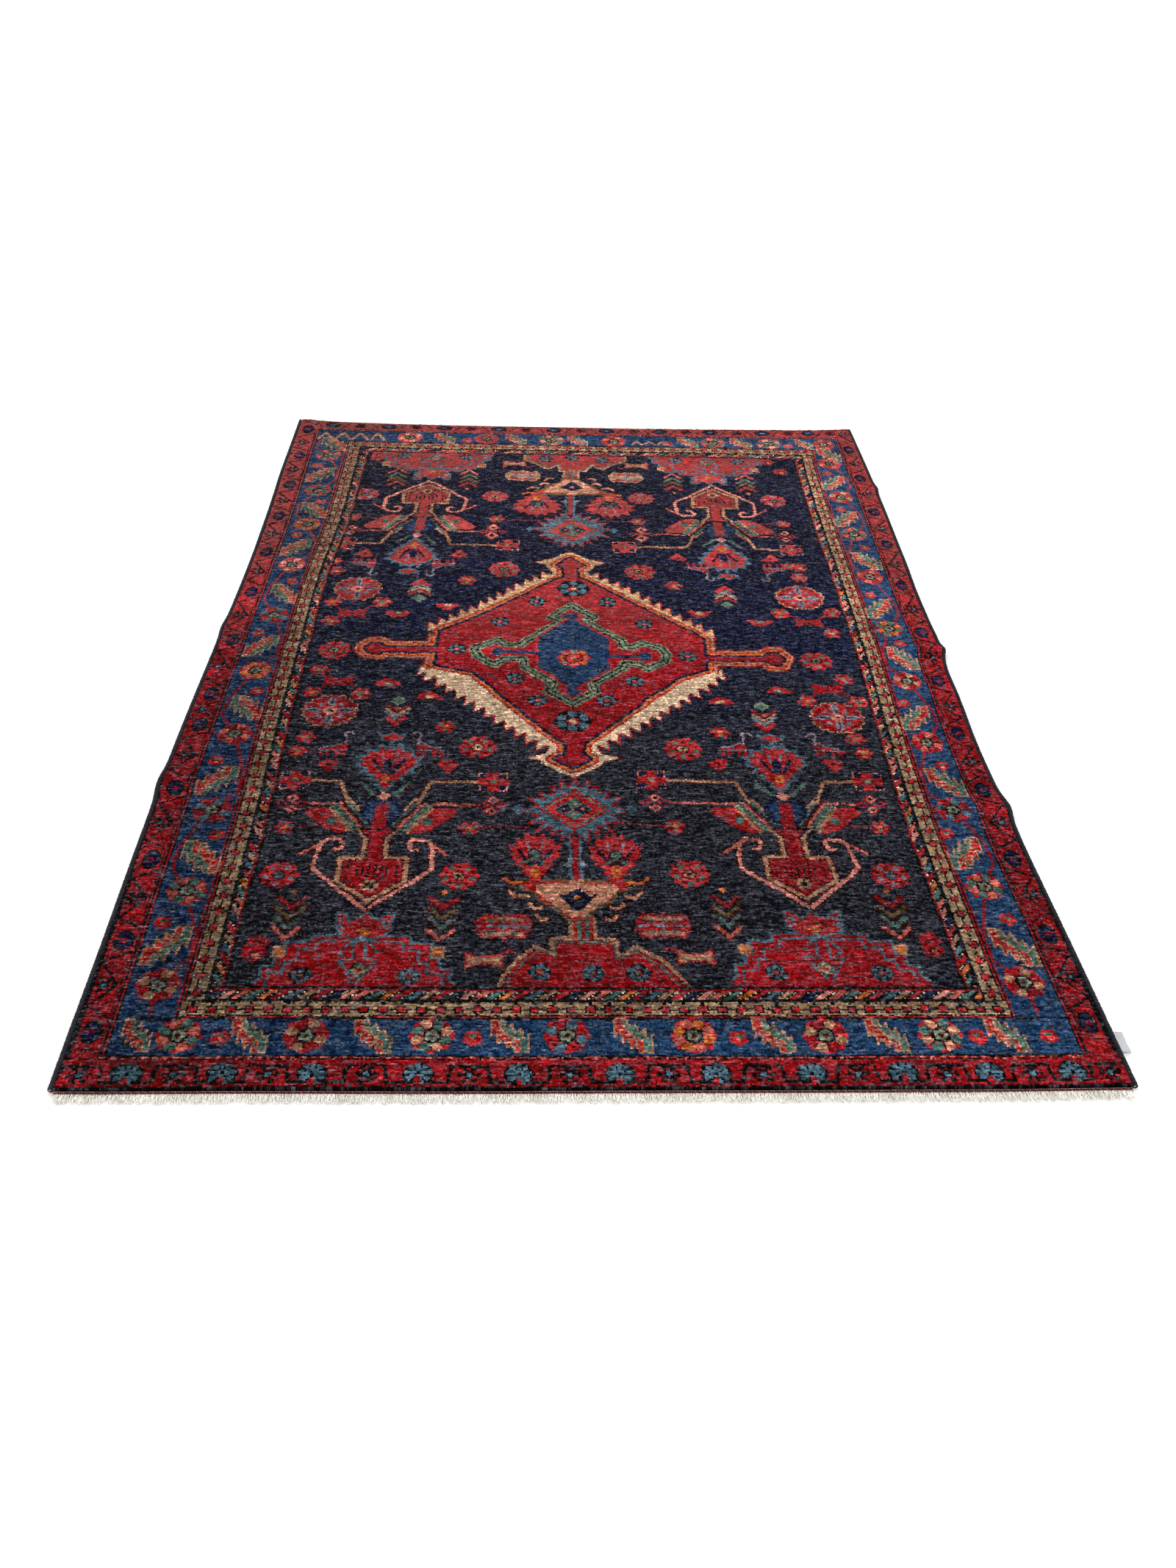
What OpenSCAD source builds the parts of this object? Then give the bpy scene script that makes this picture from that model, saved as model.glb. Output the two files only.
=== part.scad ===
// Hand-knotted wool rug, laid flat. The underside is at z = 0, the length runs along Y
// and the front end faces -Y. The foundation carries the pile, which is knotted zone by zone.

/* [Overall] */
// Width of the rug over both selvedges
rug_w = 1350; // [1300:10:1800]
// Length of the rug over both end weaves, without the fringes
rug_l = 2030; // [1960:10:2700]

/* [Thickness] */
// Thickness of the woven foundation
foundation_t = 3; // [2:0.5:5]
// Height of the pile above the foundation
pile_h = 6; // [4:0.5:12]

/* [Selvedges] */
// Diameter of the overcast cord along each side
selvedge_d = 8; // [6:0.5:12]
// Diameter of the warp cord inside the overcasting
core_d = 4; // [2:0.5:4]

/* [Ends] */
// Width of the flat-woven strip at each end
end_weave_w = 5; // [4:0.5:20]
// Diameter of the twined cord that locks the last weft
twining_d = 3; // [2:0.5:4]
// How deep the twined cord is bedded in the flat weave
twining_bed = 1; // [0.5:0.25:1.5]

/* [Fringes] */
// Length of the cut warp ends at the front
front_fringe_l = 16; // [10:1:60]
// Length of the cut warp ends at the back
back_fringe_l = 18; // [10:1:60]
// Diameter of one bunch of warp ends
strand_d = 2.5; // [1.5:0.5:3]
// Distance from one bunch to the next
strand_pitch = 9; // [6:1:20]

/* [Borders] */
// Width of the outer border along the sides
outer_side_w = 42; // [30:1:70]
// Width of the outer border across the ends
outer_end_w = 44; // [30:1:70]
// Width of the dotted line between the two borders
line_w = 8; // [6:1:14]
// Width of the main border along the sides
main_side_w = 75; // [50:1:110]
// Width of the main border across the ends
main_end_w = 62; // [50:1:110]
// Width of the gold guard stripe
gold_w = 30; // [20:1:40]
// Width of the slashed guard stripe along the sides
slash_side_w = 22; // [15:1:35]
// Width of the slashed guard stripe across the ends
slash_end_w = 25; // [15:1:35]

/* [Medallion] */
// How far the medallion's centre sits to the right of the rug's centre line
medallion_x = -25; // [-30:1:30]
// How far the medallion's centre sits behind the middle of the rug
medallion_y = -10; // [-30:1:30]
// Width of the medallion's red ground
medallion_w = 490; // [400:10:560]
// Length of the medallion's red ground
medallion_l = 530; // [440:10:640]
// Length of the flat on each side of the medallion
side_flat = 110; // [80:2:140]
// Width of the neck at the front and back of the medallion
neck_w = 50; // [40:2:70]
// Width of the serrated edge on the two back sides
back_edge_w = 22; // [15:1:40]
// Width of the serrated edge on the two front sides
front_edge_w = 42; // [20:1:50]
// Width of the blue centre panel
centre_w = 130; // [100:2:160]
// Length of the blue centre panel
centre_l = 260; // [200:10:300]

/* [Pendants] */
// Length of each side pendant's bar
bar_l = 115; // [80:5:125]
// Width of each side pendant's bar
bar_w = 54; // [40:2:70]
// Length of the knob at the bar's end
knob_l = 38; // [20:2:50]
// Width of the knob at the bar's end
knob_w = 74; // [60:2:90]
// Length of the neck between the medallion and each palmette
neck_l = 45; // [30:1:60]
// Width of each palmette
palmette_w = 145; // [100:5:160]
// Length of each palmette beyond its neck
palmette_l = 60; // [40:1:70]

/* [Field motifs] */
// Gap between the front palmette and the front diamond
front_diamond_gap = 12; // [4:1:40]
// Gap between the back palmette and the back diamond
back_diamond_gap = 32; // [4:1:40]
// Width of each small diamond over its spikes
diamond_w = 180; // [120:5:200]
// Length of each small diamond over its spikes
diamond_l = 142; // [100:2:170]
// Gap between each corner mound and the side of the field
mound_gap = 30; // [10:1:40]
// Width of each corner mound at its base
mound_w = 270; // [200:5:330]
// Height of each corner mound
mound_l = 95; // [70:5:120]
// Width of the middle mound at its base
middle_mound_w = 245; // [180:5:260]

/* [Label] */
// Width of the blank sewn label
label_w = 34; // [20:1:60]
// How far the label stands out past the selvedge
label_out = 13; // [8:1:25]
// Thickness of the folded label
label_t = 1; // [0.6:0.2:1.5]
// How far the label is caught under the overcasting
label_tuck = 1.5; // [1:0.25:1.5]
// Distance from the rug's front end to the middle of the label
label_from_front = 80; // [60:5:400]

/* [Hidden] */
round_fn = 32;
strand_fn = 16;
over = 1;                                    // overshoot of a cut past the piece it cuts
side_x = rug_w / 2;                          // outer face of each selvedge
pile_x = side_x - selvedge_d;                // side edge of the pile
end_y = rug_l / 2;                           // outer edge of each end weave
pile_y = end_y - end_weave_w;                // end edge of the pile
line_x = pile_x - outer_side_w;              // the nested borders, from the outside in
line_y = pile_y - outer_end_w;
main_x = line_x - line_w;
main_y = line_y - line_w;
gold_x = main_x - main_side_w;
gold_y = main_y - main_end_w;
slash_x = gold_x - gold_w;
slash_y = gold_y - gold_w;
field_x = slash_x - slash_side_w;
field_y = slash_y - slash_end_w;
core_x = side_x - selvedge_d / 2;            // axis of each selvedge
core_z = selvedge_d / 2;
half_w = medallion_w / 2;
half_l = medallion_l / 2;
half_flat = side_flat / 2;
half_neck = neck_w / 2;
palmette_tip = half_l + neck_l + palmette_l;   // measured from the medallion's centre
mound_x = field_x - mound_gap - mound_w / 2;   // middle of each corner mound
step_l = mound_l / 3;                        // height of one step of a mound
step_w = mound_w / 10;                       // tread of one step of a mound
strand_count = floor((2 * pile_x - strand_d) / strand_pitch);
label_y = -end_y + label_from_front;

// ---- shared shapes -------------------------------------------------------------------

// One slab of pile standing on the foundation
module pile() {
  translate([0, 0, foundation_t]) linear_extrude(pile_h) children();
}

// A border strip across the front (s = -1) or the back (s = 1), between two nested frames
module end_strip(s, out_x, out_y, in_y) {
  y = s > 0 ? in_y : -out_y;
  translate([-out_x, y]) square([2 * out_x, out_y - in_y]);
}

// A border strip along the left (s = -1) or the right (s = 1), between the end strips
module side_strip(s, out_x, in_x, in_y) {
  x = s > 0 ? in_x : -out_x;
  translate([x, -in_y]) square([out_x - in_x, 2 * in_y]);
}

// The quarter of the field on one side (sx) at one end (sy)
module field_quarter(sx, sy) {
  x = sx > 0 ? medallion_x : -field_x;
  w = sx > 0 ? field_x - medallion_x : field_x + medallion_x;
  y = sy > 0 ? medallion_y : -field_y;
  l = sy > 0 ? field_y - medallion_y : field_y + medallion_y;
  translate([x, y]) square([w, l]);
}

// Everything in this module is measured from the medallion's centre
module at_medallion() {
  translate([medallion_x, medallion_y]) children();
}

// The red ground's outline: a diamond with flats at its sides and necks at its ends
module ground_outline() {
  polygon([
    [-half_w, half_flat], [-half_neck, half_l], [half_neck, half_l], [half_w, half_flat],
    [half_w, -half_flat], [half_neck, -half_l], [-half_neck, -half_l], [-half_w, -half_flat]
  ]);
}

// One serrated side band, drawn for the right back side; edge_w is its width
module edge_outline(edge_w) {
  polygon([
    [half_w, half_flat], [half_neck, half_l],
    [half_neck + edge_w, half_l], [half_w, half_flat + edge_w]
  ]);
}

// The blue centre panel with its two pointed ends
module centre_outline() {
  polygon([
    [-centre_w / 2, centre_l / 5], [-half_neck / 2, centre_l / 2], [half_neck / 2, centre_l / 2],
    [centre_w / 2, centre_l / 5], [centre_w / 2, -centre_l / 5], [half_neck / 2, -centre_l / 2],
    [-half_neck / 2, -centre_l / 2], [-centre_w / 2, -centre_l / 5]
  ]);
}

// One half of the red ground, cut on the line through the two pendants
module ground_half(s) {
  y = s > 0 ? 0 : -half_l;
  at_medallion() difference() {
    intersection() {
      ground_outline();
      translate([-half_w, y]) square([medallion_w, half_l]);
    }
    centre_outline();
  }
}

// A side pendant: a bar that ends in a knob with cut corners
module pendant_outline(s) {
  end_x = half_w + bar_l;
  cut = knob_l / 3;
  at_medallion() scale([s, 1]) polygon([
    [half_w, -bar_w / 2], [end_x, -bar_w / 2], [end_x, -knob_w / 2],
    [end_x + knob_l - cut, -knob_w / 2], [end_x + knob_l, -knob_w / 2 + cut],
    [end_x + knob_l, knob_w / 2 - cut], [end_x + knob_l - cut, knob_w / 2],
    [end_x, knob_w / 2], [end_x, bar_w / 2], [half_w, bar_w / 2]
  ]);
}

// A palmette: a neck and an anchor-shaped head that points away from the medallion
module palmette_outline(s) {
  base_y = half_l + neck_l;
  at_medallion() scale([1, s]) polygon([
    [-half_neck, half_l], [half_neck, half_l], [half_neck, base_y],
    [palmette_w / 2, base_y + palmette_l / 3], [half_neck, base_y + palmette_l / 2],
    [0, base_y + palmette_l], [-half_neck, base_y + palmette_l / 2],
    [-palmette_w / 2, base_y + palmette_l / 3], [-half_neck, base_y]
  ]);
}

// The small spiked diamond beyond a palmette
module diamond_outline(s) {
  gap = s > 0 ? back_diamond_gap : front_diamond_gap;
  at_medallion() translate([0, s * (palmette_tip + gap + diamond_l / 2)]) polygon([
    [-diamond_w / 2, 0], [0, diamond_l / 2], [diamond_w / 2, 0], [0, -diamond_l / 2]
  ]);
}

// A stepped mound that stands on the end of the field
module mound_outline(x, s, w) {
  translate([x, s * field_y]) scale([1, -s]) polygon([
    [-w / 2, 0], [w / 2, 0], [w / 2, step_l], [w / 2 - step_w, step_l],
    [w / 2 - step_w, 2 * step_l], [w / 2 - 2 * step_w, 2 * step_l], [w / 2 - 2 * step_w, 3 * step_l],
    [-w / 2 + 2 * step_w, 3 * step_l], [-w / 2 + 2 * step_w, 2 * step_l],
    [-w / 2 + step_w, 2 * step_l], [-w / 2 + step_w, step_l], [-w / 2, step_l]
  ]);
}

// Every motif that is knotted as a zone of its own, cut out of the field
module all_motifs() {
  at_medallion() {
    ground_outline();
    edges();
  }
  for (s = [-1, 1]) {
    pendant_outline(s);
    palmette_outline(s);
    diamond_outline(s);
    mound_outline(0, s, middle_mound_w);
    for (side = [-1, 1]) mound_outline(side * mound_x, s, mound_w);
  }
}

// The four serrated side bands together
module edges() {
  for (side = [-1, 1]) {
    scale([side, 1]) edge_outline(back_edge_w);
    scale([side, -1]) edge_outline(front_edge_w);
  }
}

// One serrated side band in its own place
module edge_piece(side, s, edge_w) {
  color("tan") pile() at_medallion() scale([side, s]) edge_outline(edge_w);
}

// One quarter of the navy ground, without the motifs
module field_piece(sx, sy, shade) {
  color(shade) pile() difference() {
    field_quarter(sx, sy);
    all_motifs();
  }
}

// ---- foundation and edges ------------------------------------------------------------

// Cotton warps and wefts, woven together; each side reaches in to the selvedge's core
module foundation() {
  reach = core_x - core_d / 2;
  color("ivory") translate([-reach, -pile_y, 0]) cube([2 * reach, 2 * pile_y, foundation_t]);
}

// A round bar along the length, centred on a selvedge
module side_bar(s, d) {
  translate([s * core_x, pile_y, core_z]) rotate([90, 0, 0]) cylinder(d = d, h = 2 * pile_y, $fn = round_fn);
}

// Dark wool wrapped round the core and the foundation's edge
module selvedge_wrap(s) {
  color("midnightblue") difference() {
    side_bar(s, selvedge_d);
    translate([s * core_x, pile_y + over, core_z])
      rotate([90, 0, 0]) cylinder(d = core_d, h = 2 * (pile_y + over), $fn = round_fn);
    foundation();
    sewn_label();
  }
}

module selvedge_core(s) {
  color("antiquewhite") side_bar(s, core_d);
}

// Flat-woven strip beyond the last row of knots
module end_weave(s) {
  y = s > 0 ? pile_y : -end_y;
  color("ivory") difference() {
    translate([-pile_x, y, 0]) cube([2 * pile_x, end_weave_w, foundation_t]);
    twining(s, over);
  }
}

// Red and black yarns twined round the last warps; extra lengthens it for the cut
module twining(s, extra = 0) {
  y = s * (pile_y + end_weave_w / 2);
  z = foundation_t - twining_bed + twining_d / 2;
  color("darkred") translate([-pile_x - extra, y, z])
    rotate([0, 90, 0]) cylinder(d = twining_d, h = 2 * (pile_x + extra), $fn = round_fn);
}

// Cut warp ends in bunches
module fringe(s, fringe_l) {
  start = -(strand_count - 1) / 2 * strand_pitch;
  color("linen")
    for (i = [0 : strand_count - 1])
      translate([start + i * strand_pitch, s * end_y, strand_d / 2])
        rotate([s > 0 ? -90 : 90, 0, 0]) cylinder(d = strand_d, h = fringe_l, $fn = strand_fn);
}

// Blank folded tape, caught under the right selvedge's overcasting
module sewn_label() {
  color("whitesmoke") translate([side_x - label_tuck, label_y - label_w / 2, core_z - label_t / 2])
    cube([label_out + label_tuck, label_w, label_t]);
}

// ---- nodes ---------------------------------------------------------------------------

foundation();
selvedge_wrap(-1);  // selvedge_wrap_left
selvedge_wrap(1);  // selvedge_wrap_right
selvedge_core(-1);  // selvedge_core_left
selvedge_core(1);  // selvedge_core_right
end_weave(-1);  // end_weave_front
end_weave(1);  // end_weave_back
twining(-1);  // twining_front
twining(1);  // twining_back
fringe(-1, front_fringe_l);  // fringe_front
fringe(1, back_fringe_l);  // fringe_back
sewn_label();
outer_end(-1);  // outer_border_front
outer_end(1);  // outer_border_back
outer_side(-1);  // outer_border_left
outer_side(1);  // outer_border_right
dotted_end(-1);  // dotted_line_front
dotted_end(1);  // dotted_line_back
dotted_side(-1);  // dotted_line_left
dotted_side(1);  // dotted_line_right
main_end(-1);  // main_border_front
main_end(1);  // main_border_back
main_side(-1);  // main_border_left
main_side(1);  // main_border_right
gold_end(-1);  // gold_guard_front
gold_end(1);  // gold_guard_back
gold_side(-1);  // gold_guard_left
gold_side(1);  // gold_guard_right
slash_end(-1);  // slash_guard_front
slash_end(1);  // slash_guard_back
slash_side(-1);  // slash_guard_left
slash_side(1);  // slash_guard_right
field_piece(-1, -1, "#14151d");  // field_front_left
field_piece(1, -1, "#14151d");  // field_front_right
field_piece(-1, 1, "#18203c");  // field_back_left
field_piece(1, 1, "#18203c");  // field_back_right
medallion_ground(-1);  // medallion_ground_front
medallion_ground(1);  // medallion_ground_back
medallion_centre();
edge_piece(-1, -1, front_edge_w);  // medallion_edge_front_left
edge_piece(1, -1, front_edge_w);  // medallion_edge_front_right
edge_piece(-1, 1, back_edge_w);  // medallion_edge_back_left
edge_piece(1, 1, back_edge_w);  // medallion_edge_back_right
pendant(-1);  // pendant_left
pendant(1);  // pendant_right
palmette(-1);  // palmette_front
palmette(1);  // palmette_back
diamond(-1);  // diamond_front
diamond(1);  // diamond_back
mound(-mound_x, -1, mound_w);  // mound_front_left
mound(0, -1, middle_mound_w);  // mound_front_middle
mound(mound_x, -1, mound_w);  // mound_front_right
mound(-mound_x, 1, mound_w);  // mound_back_left
mound(0, 1, middle_mound_w);  // mound_back_middle
mound(mound_x, 1, mound_w);  // mound_back_right

// ---- pile zones ----------------------------------------------------------------------

module outer_end(s) {
  color("firebrick") pile() end_strip(s, pile_x, pile_y, line_y);
}

module outer_side(s) {
  color("firebrick") pile() side_strip(s, pile_x, line_x, line_y);
}

module dotted_end(s) {
  color("#1a1418") pile() end_strip(s, line_x, line_y, main_y);
}

module dotted_side(s) {
  color("#1a1418") pile() side_strip(s, line_x, main_x, main_y);
}

module main_end(s) {
  color("#1c3a6b") pile() end_strip(s, main_x, main_y, gold_y);
}

module main_side(s) {
  color("#1c3a6b") pile() side_strip(s, main_x, gold_x, gold_y);
}

module gold_end(s) {
  color("#9c7c50") pile() end_strip(s, gold_x, gold_y, slash_y);
}

module gold_side(s) {
  color("#9c7c50") pile() side_strip(s, gold_x, slash_x, slash_y);
}

module slash_end(s) {
  color("#3a3034") pile() end_strip(s, slash_x, slash_y, field_y);
}

module slash_side(s) {
  color("#3a3034") pile() side_strip(s, slash_x, field_x, field_y);
}

module medallion_ground(s) {
  color("#b0303a") pile() ground_half(s);
}

module medallion_centre() {
  color("#203a68") pile() at_medallion() centre_outline();
}

module pendant(s) {
  color("#b85a38") pile() pendant_outline(s);
}

module palmette(s) {
  color("#a88050") pile() palmette_outline(s);
}

module diamond(s) {
  color("#8c3440") pile() diamond_outline(s);
}

module mound(x, s, w) {
  color("#a8202c") pile() mound_outline(x, s, w);
}
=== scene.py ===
import math

import bmesh
import bpy
import numpy as np
from mathutils import Matrix, Vector
from mathutils.geometry import delaunay_2d_cdt


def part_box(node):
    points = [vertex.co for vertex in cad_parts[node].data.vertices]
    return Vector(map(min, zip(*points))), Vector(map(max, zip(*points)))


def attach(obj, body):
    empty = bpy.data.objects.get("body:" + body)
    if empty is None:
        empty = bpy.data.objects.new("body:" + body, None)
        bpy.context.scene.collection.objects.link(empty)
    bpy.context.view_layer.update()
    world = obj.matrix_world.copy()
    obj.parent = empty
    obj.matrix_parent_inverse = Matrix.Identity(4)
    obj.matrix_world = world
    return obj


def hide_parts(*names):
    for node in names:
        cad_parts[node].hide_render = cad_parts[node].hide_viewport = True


# A hand-knotted wool rug lying on a pale floor. The design is worked out knot by knot on a loom grid,
# in millimetres, and each zone of pile is then raised as its own piece on the cotton foundation.

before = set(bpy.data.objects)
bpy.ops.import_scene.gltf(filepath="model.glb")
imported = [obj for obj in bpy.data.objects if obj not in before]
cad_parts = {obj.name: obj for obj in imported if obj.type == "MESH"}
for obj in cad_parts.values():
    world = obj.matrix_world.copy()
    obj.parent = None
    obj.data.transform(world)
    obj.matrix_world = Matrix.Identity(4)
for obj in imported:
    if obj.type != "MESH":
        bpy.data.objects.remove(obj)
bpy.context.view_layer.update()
mm = 0.001


def nodeBox(name):
    low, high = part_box(name)
    return [c / mm for c in low], [c / mm for c in high]


pileLow, pileHigh = nodeBox("outer_border_front")
foundationTop = pileLow[2]
pileTop = pileHigh[2]
pileX = pileHigh[0]
pileY = -pileLow[1]
endY = -nodeBox("end_weave_front")[0][1]
fieldX = -nodeBox("field_front_left")[0][0]

# ---- how the rug lies ----

lie = {
    # sideways wander of four lines along the rug, and how far its two ends run out of square, in mm
    "alongAt": [-1015, -750, -500, -250, 0, 250, 500, 750, 1015],
    "leftEdge": [-5, -6, -8, -7, -1, 5, 5, 1, 0],
    "leftField": [-2, -5, -5, -10, -12, -12, 2, 5, 6],
    "rightField": [8, 2, -4, 0, 8, 10, 8, 12, 26],
    "rightEdge": [3, -4, -12, -17, -9, -8, -2, 0, -2],
    "acrossAt": [-675, -600, -450, -200, 0, 200, 350, 500, 600, 675],
    "frontEnd": [1, 1, 2, 2, 3, 4, 5, 6, 8, 9],
    "backEnd": [6, -6, -13, -16, -15, -15, -10, -7, -2, 8],
    "backInside": -8, "insideOver": 800, "backFrom": 940, "backOver": 75,
    "cordRoom": 8,
    # short pulls of the sides, felt from "pullFrom" outwards: side, middle, reach along, how far
    "pullFrom": 560, "pullOver": 120,
    "pulls": [(1, -452, 26, 6), (1, 14, 22, 5), (1, -60, 40, -3), (-1, -405, 30, 4), (-1, 60, 26, 3),
              (1, 700, 20, 3)],
    # soft swells and creases: middle, reach across and along, height
    "swells": [
        ((-672, -405), (26, 45), 3.0), ((672, -460), (30, 50), 3.5), ((672, -190), (40, 60), 2.0),
        ((655, 10), (75, 10), 8.5), ((655, -22), (70, 12), -2.5), ((640, 60), (80, 30), 2.5),
        ((668, 330), (30, 70), 2.0), ((640, 690), (60, 16), 4.0), ((-672, 60), (24, 60), 2.0),
        ((-610, -47), (90, 6), 1.8), ((-660, 720), (40, 70), 1.5), ((300, 150), (220, 10), 1.2),
        ((350, -140), (200, 9), 1.2), ((-300, 560), (300, 60), 0.8), ((250, 560), (280, 70), 0.8),
    ],
}


def easedCurve(at, values, where):
    at, values = np.array(at, float), np.array(values, float)
    k = np.clip(np.searchsorted(at, where) - 1, 0, len(at) - 2)
    t = np.clip((where - at[k]) / (at[k + 1] - at[k]), 0, 1)
    a, b = values[np.clip(k - 1, 0, len(at) - 1)], values[k]
    c, d = values[k + 1], values[np.clip(k + 2, 0, len(at) - 1)]
    return b + 0.5 * t * (c - a + t * (2 * a - 5 * b + 4 * c - d + t * (3 * (b - c) + d - a)))


def settle(u, v):
    # where a point of the flat design comes to lie: across, along, and how far it lifts
    u, v = np.broadcast_arrays(np.asarray(u, float), np.asarray(v, float))
    sides = [easedCurve(lie["alongAt"], lie[k], v) for k in ("leftEdge", "leftField", "rightField",
        "rightEdge")]
    edge = pileX + lie["cordRoom"]
    left = sides[0] + (sides[1] - sides[0]) * np.clip((u + edge) / (edge - fieldX), 0, 1)
    right = sides[2] + (sides[3] - sides[2]) * np.clip((u - fieldX) / (edge - fieldX), 0, 1)
    dx = left + (right - left) * np.clip((u + fieldX) / (2 * fieldX), 0, 1)
    for side, middle, reach, pull in lie["pulls"]:
        near = np.clip((side * u - lie["pullFrom"]) / lie["pullOver"], 0, 1)
        dx = dx + side * pull * np.exp(-((v - middle) / reach) ** 2) * near
    front = easedCurve(lie["acrossAt"], lie["frontEnd"], u)
    back = easedCurve(lie["acrossAt"], lie["backEnd"], u)
    inside = lie["backInside"] * np.clip(v / lie["insideOver"], 0, 1)
    atBack = inside + (back - inside) * np.clip((v - lie["backFrom"]) / lie["backOver"], 0, 1)
    dy = np.where(v < 0, front * np.clip(-v / endY, 0, 1), atBack)
    dz = np.zeros(u.shape)
    for (cx, cy), (rx, ry), rise in lie["swells"]:
        dz += rise * np.exp(-((u - cx) / rx) ** 2 - ((v - cy) / ry) ** 2)
    dz += 0.5 + 0.25 * np.sin(u / 61 + 1.3) * np.sin(v / 83) + 0.25 * np.sin(u / 137) * np.sin(v / 45 + u
        / 210)
    return u + dx, v + dy, np.maximum(dz, 0)


def softNoise(shape, cell, seed):
    # smooth noise about 0, with one value for each cell of that many knots
    rows, cols = shape[0] // cell[0] + 3, shape[1] // cell[1] + 3
    coarse = np.random.default_rng(seed).normal(0, 1, (rows, cols))
    y, x = np.arange(shape[0]) / cell[0], np.arange(shape[1]) / cell[1]
    j, i = y.astype(int), x.astype(int)
    fy, fx = y - j, x - i
    fy, fx = (fy * fy * (3 - 2 * fy))[:, None], (fx * fx * (3 - 2 * fx))[None, :]
    a, b = coarse[np.ix_(j, i)], coarse[np.ix_(j, i + 1)]
    c, d = coarse[np.ix_(j + 1, i)], coarse[np.ix_(j + 1, i + 1)]
    return (a * (1 - fx) + b * fx) * (1 - fy) + (c * (1 - fx) + d * fx) * fy


# ---- the loom: one cell for each knot ----

# wobble and stray are in mm; the spares are how far a motif may be shifted from its flat place
knots = {"across": 534, "along": 808, "wobble": 1.1, "stray": 0.75, "flatSpare": 8, "laidSpare": 36}
cols, rows = knots["across"], knots["along"]
cellX, cellY = 2 * pileX / cols, 2 * pileY / rows
flatU = -pileX + cellX * (np.arange(cols) + 0.5)
flatV = -pileY + cellY * (np.arange(rows) + 0.5)
gridU, gridV = np.meshgrid(flatU, flatV)
laidX, laidY, _ = settle(gridU, gridV)
wobbleX = knots["wobble"] * softNoise((rows, cols), (9, 11), 3)
wobbleY = knots["wobble"] * softNoise((rows, cols), (11, 8), 4)
stray = knots["stray"] * np.random.default_rng(6).normal(0, 1, (2, rows, cols))
flatGrid = (gridU + 0.6 * wobbleX + 0.5 * stray[0], gridV + 0.6 * wobbleY + 0.5 * stray[1])
laidGrid = (laidX + wobbleX + stray[0], laidY + wobbleY + stray[1])

woolHex = {
    "ink": "#111116", "fieldNavy": "#181c2c", "navy": "#161c36", "blue": "#213855", "centreBlue": "#213653",
    "lightBlue": "#45606e", "greyBlue": "#67717d", "green": "#46625a", "sage": "#69735d", "red": "#89161e",
    "borderRed": "#80171d", "brightRed": "#9c2629", "wine": "#430f16", "salmon": "#b5584b",
    "pink": "#c37a6c",
    "peach": "#bd8268", "orange": "#b55f30", "gold": "#907458", "tan": "#9e7358", "straw": "#b48f6b",
    "wedge": "#ccac8d", "cream": "#bcab92", "olive": "#5a4f34",
}
woolNames = list(woolHex)
woolOf = {name: k for k, name in enumerate(woolNames)}
zoneNames = [
    name for name in sorted(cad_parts)
    if name.startswith(("outer_", "dotted_", "main_", "gold_", "slash_", "field_", "medallion_", "pendant_",
                        "palmette_", "diamond_", "mound_"))
]
zoneOf = {name: k for k, name in enumerate(zoneNames)}
loomWool = np.full((rows, cols), woolOf["fieldNavy"], np.uint8)
loomZone = np.zeros((rows, cols), np.uint8)


def place(x, y, sx=1, sy=1, turn=0, flat=False, lean=None):
    # where a motif stands, how it is mirrored and turned, and on which grid it is counted
    return {"x": x, "y": y, "sx": sx, "sy": sy, "turn": math.radians(turn), "flat": flat, "lean": lean}


def under(p, x0, y0, x1, y1):
    # the knots round a motif's own box, with their places in its own measure
    cs, sn = math.cos(p["turn"]), math.sin(p["turn"])
    corners = []
    for x, y in ((x0, y0), (x1, y0), (x0, y1), (x1, y1)):
        a, b = x * p["sx"], y * p["sy"]
        corners.append((p["x"] + a * cs - b * sn, p["y"] + a * sn + b * cs))
    xs, ys = [c[0] for c in corners], [c[1] for c in corners]
    spare = knots["flatSpare"] if p["flat"] else knots["laidSpare"]
    i0 = max(0, int((min(xs) - spare + pileX) / cellX))
    i1 = min(cols, int((max(xs) + spare + pileX) / cellX) + 1)
    j0 = max(0, int((min(ys) - spare + pileY) / cellY))
    j1 = min(rows, int((max(ys) + spare + pileY) / cellY) + 1)
    part = (slice(j0, max(j1, j0)), slice(i0, max(i1, i0)))
    gx, gy = flatGrid if p["flat"] else laidGrid
    dx, dy = gx[part] - p["x"], gy[part] - p["y"]
    if p["lean"]:
        heights, shifts = zip(*p["lean"])
        dx = dx - np.interp(dy * p["sy"], heights, shifts)
    return part, (dx * cs + dy * sn) * p["sx"], (dy * cs - dx * sn) * p["sy"]


def mirrored(p):
    # the motif on its own axis and its mirror image
    return [p, dict(p, sx=-p["sx"])]


def knot(part, mask, wool, zone=None):
    if wool is not None:
        loomWool[part][mask] = woolOf[wool]
    if zone is not None:
        loomZone[part][mask] = zoneOf[zone]


def spanOf(points, spare=0):
    xs, ys = [q[0] for q in points], [q[1] for q in points]
    return min(xs) - spare, min(ys) - spare, max(xs) + spare, max(ys) + spare


def insideOf(x, y, points):
    inside = np.zeros(x.shape, bool)
    for (ax, ay), (bx, by) in zip(points, points[1:] + points[:1]):
        if ay != by:
            inside ^= ((ay > y) != (by > y)) & (x < (bx - ax) * (y - ay) / (by - ay) + ax)
    return inside


def area(p, points, wool, zone=None):
    part, x, y = under(p, *spanOf(points))
    knot(part, insideOf(x, y, points), wool, zone)


def lozenge(p, x, y, w, h, wool, zone=None):
    area(p, [(x - w, y), (x, y + h), (x + w, y), (x, y - h)], wool, zone)


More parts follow.
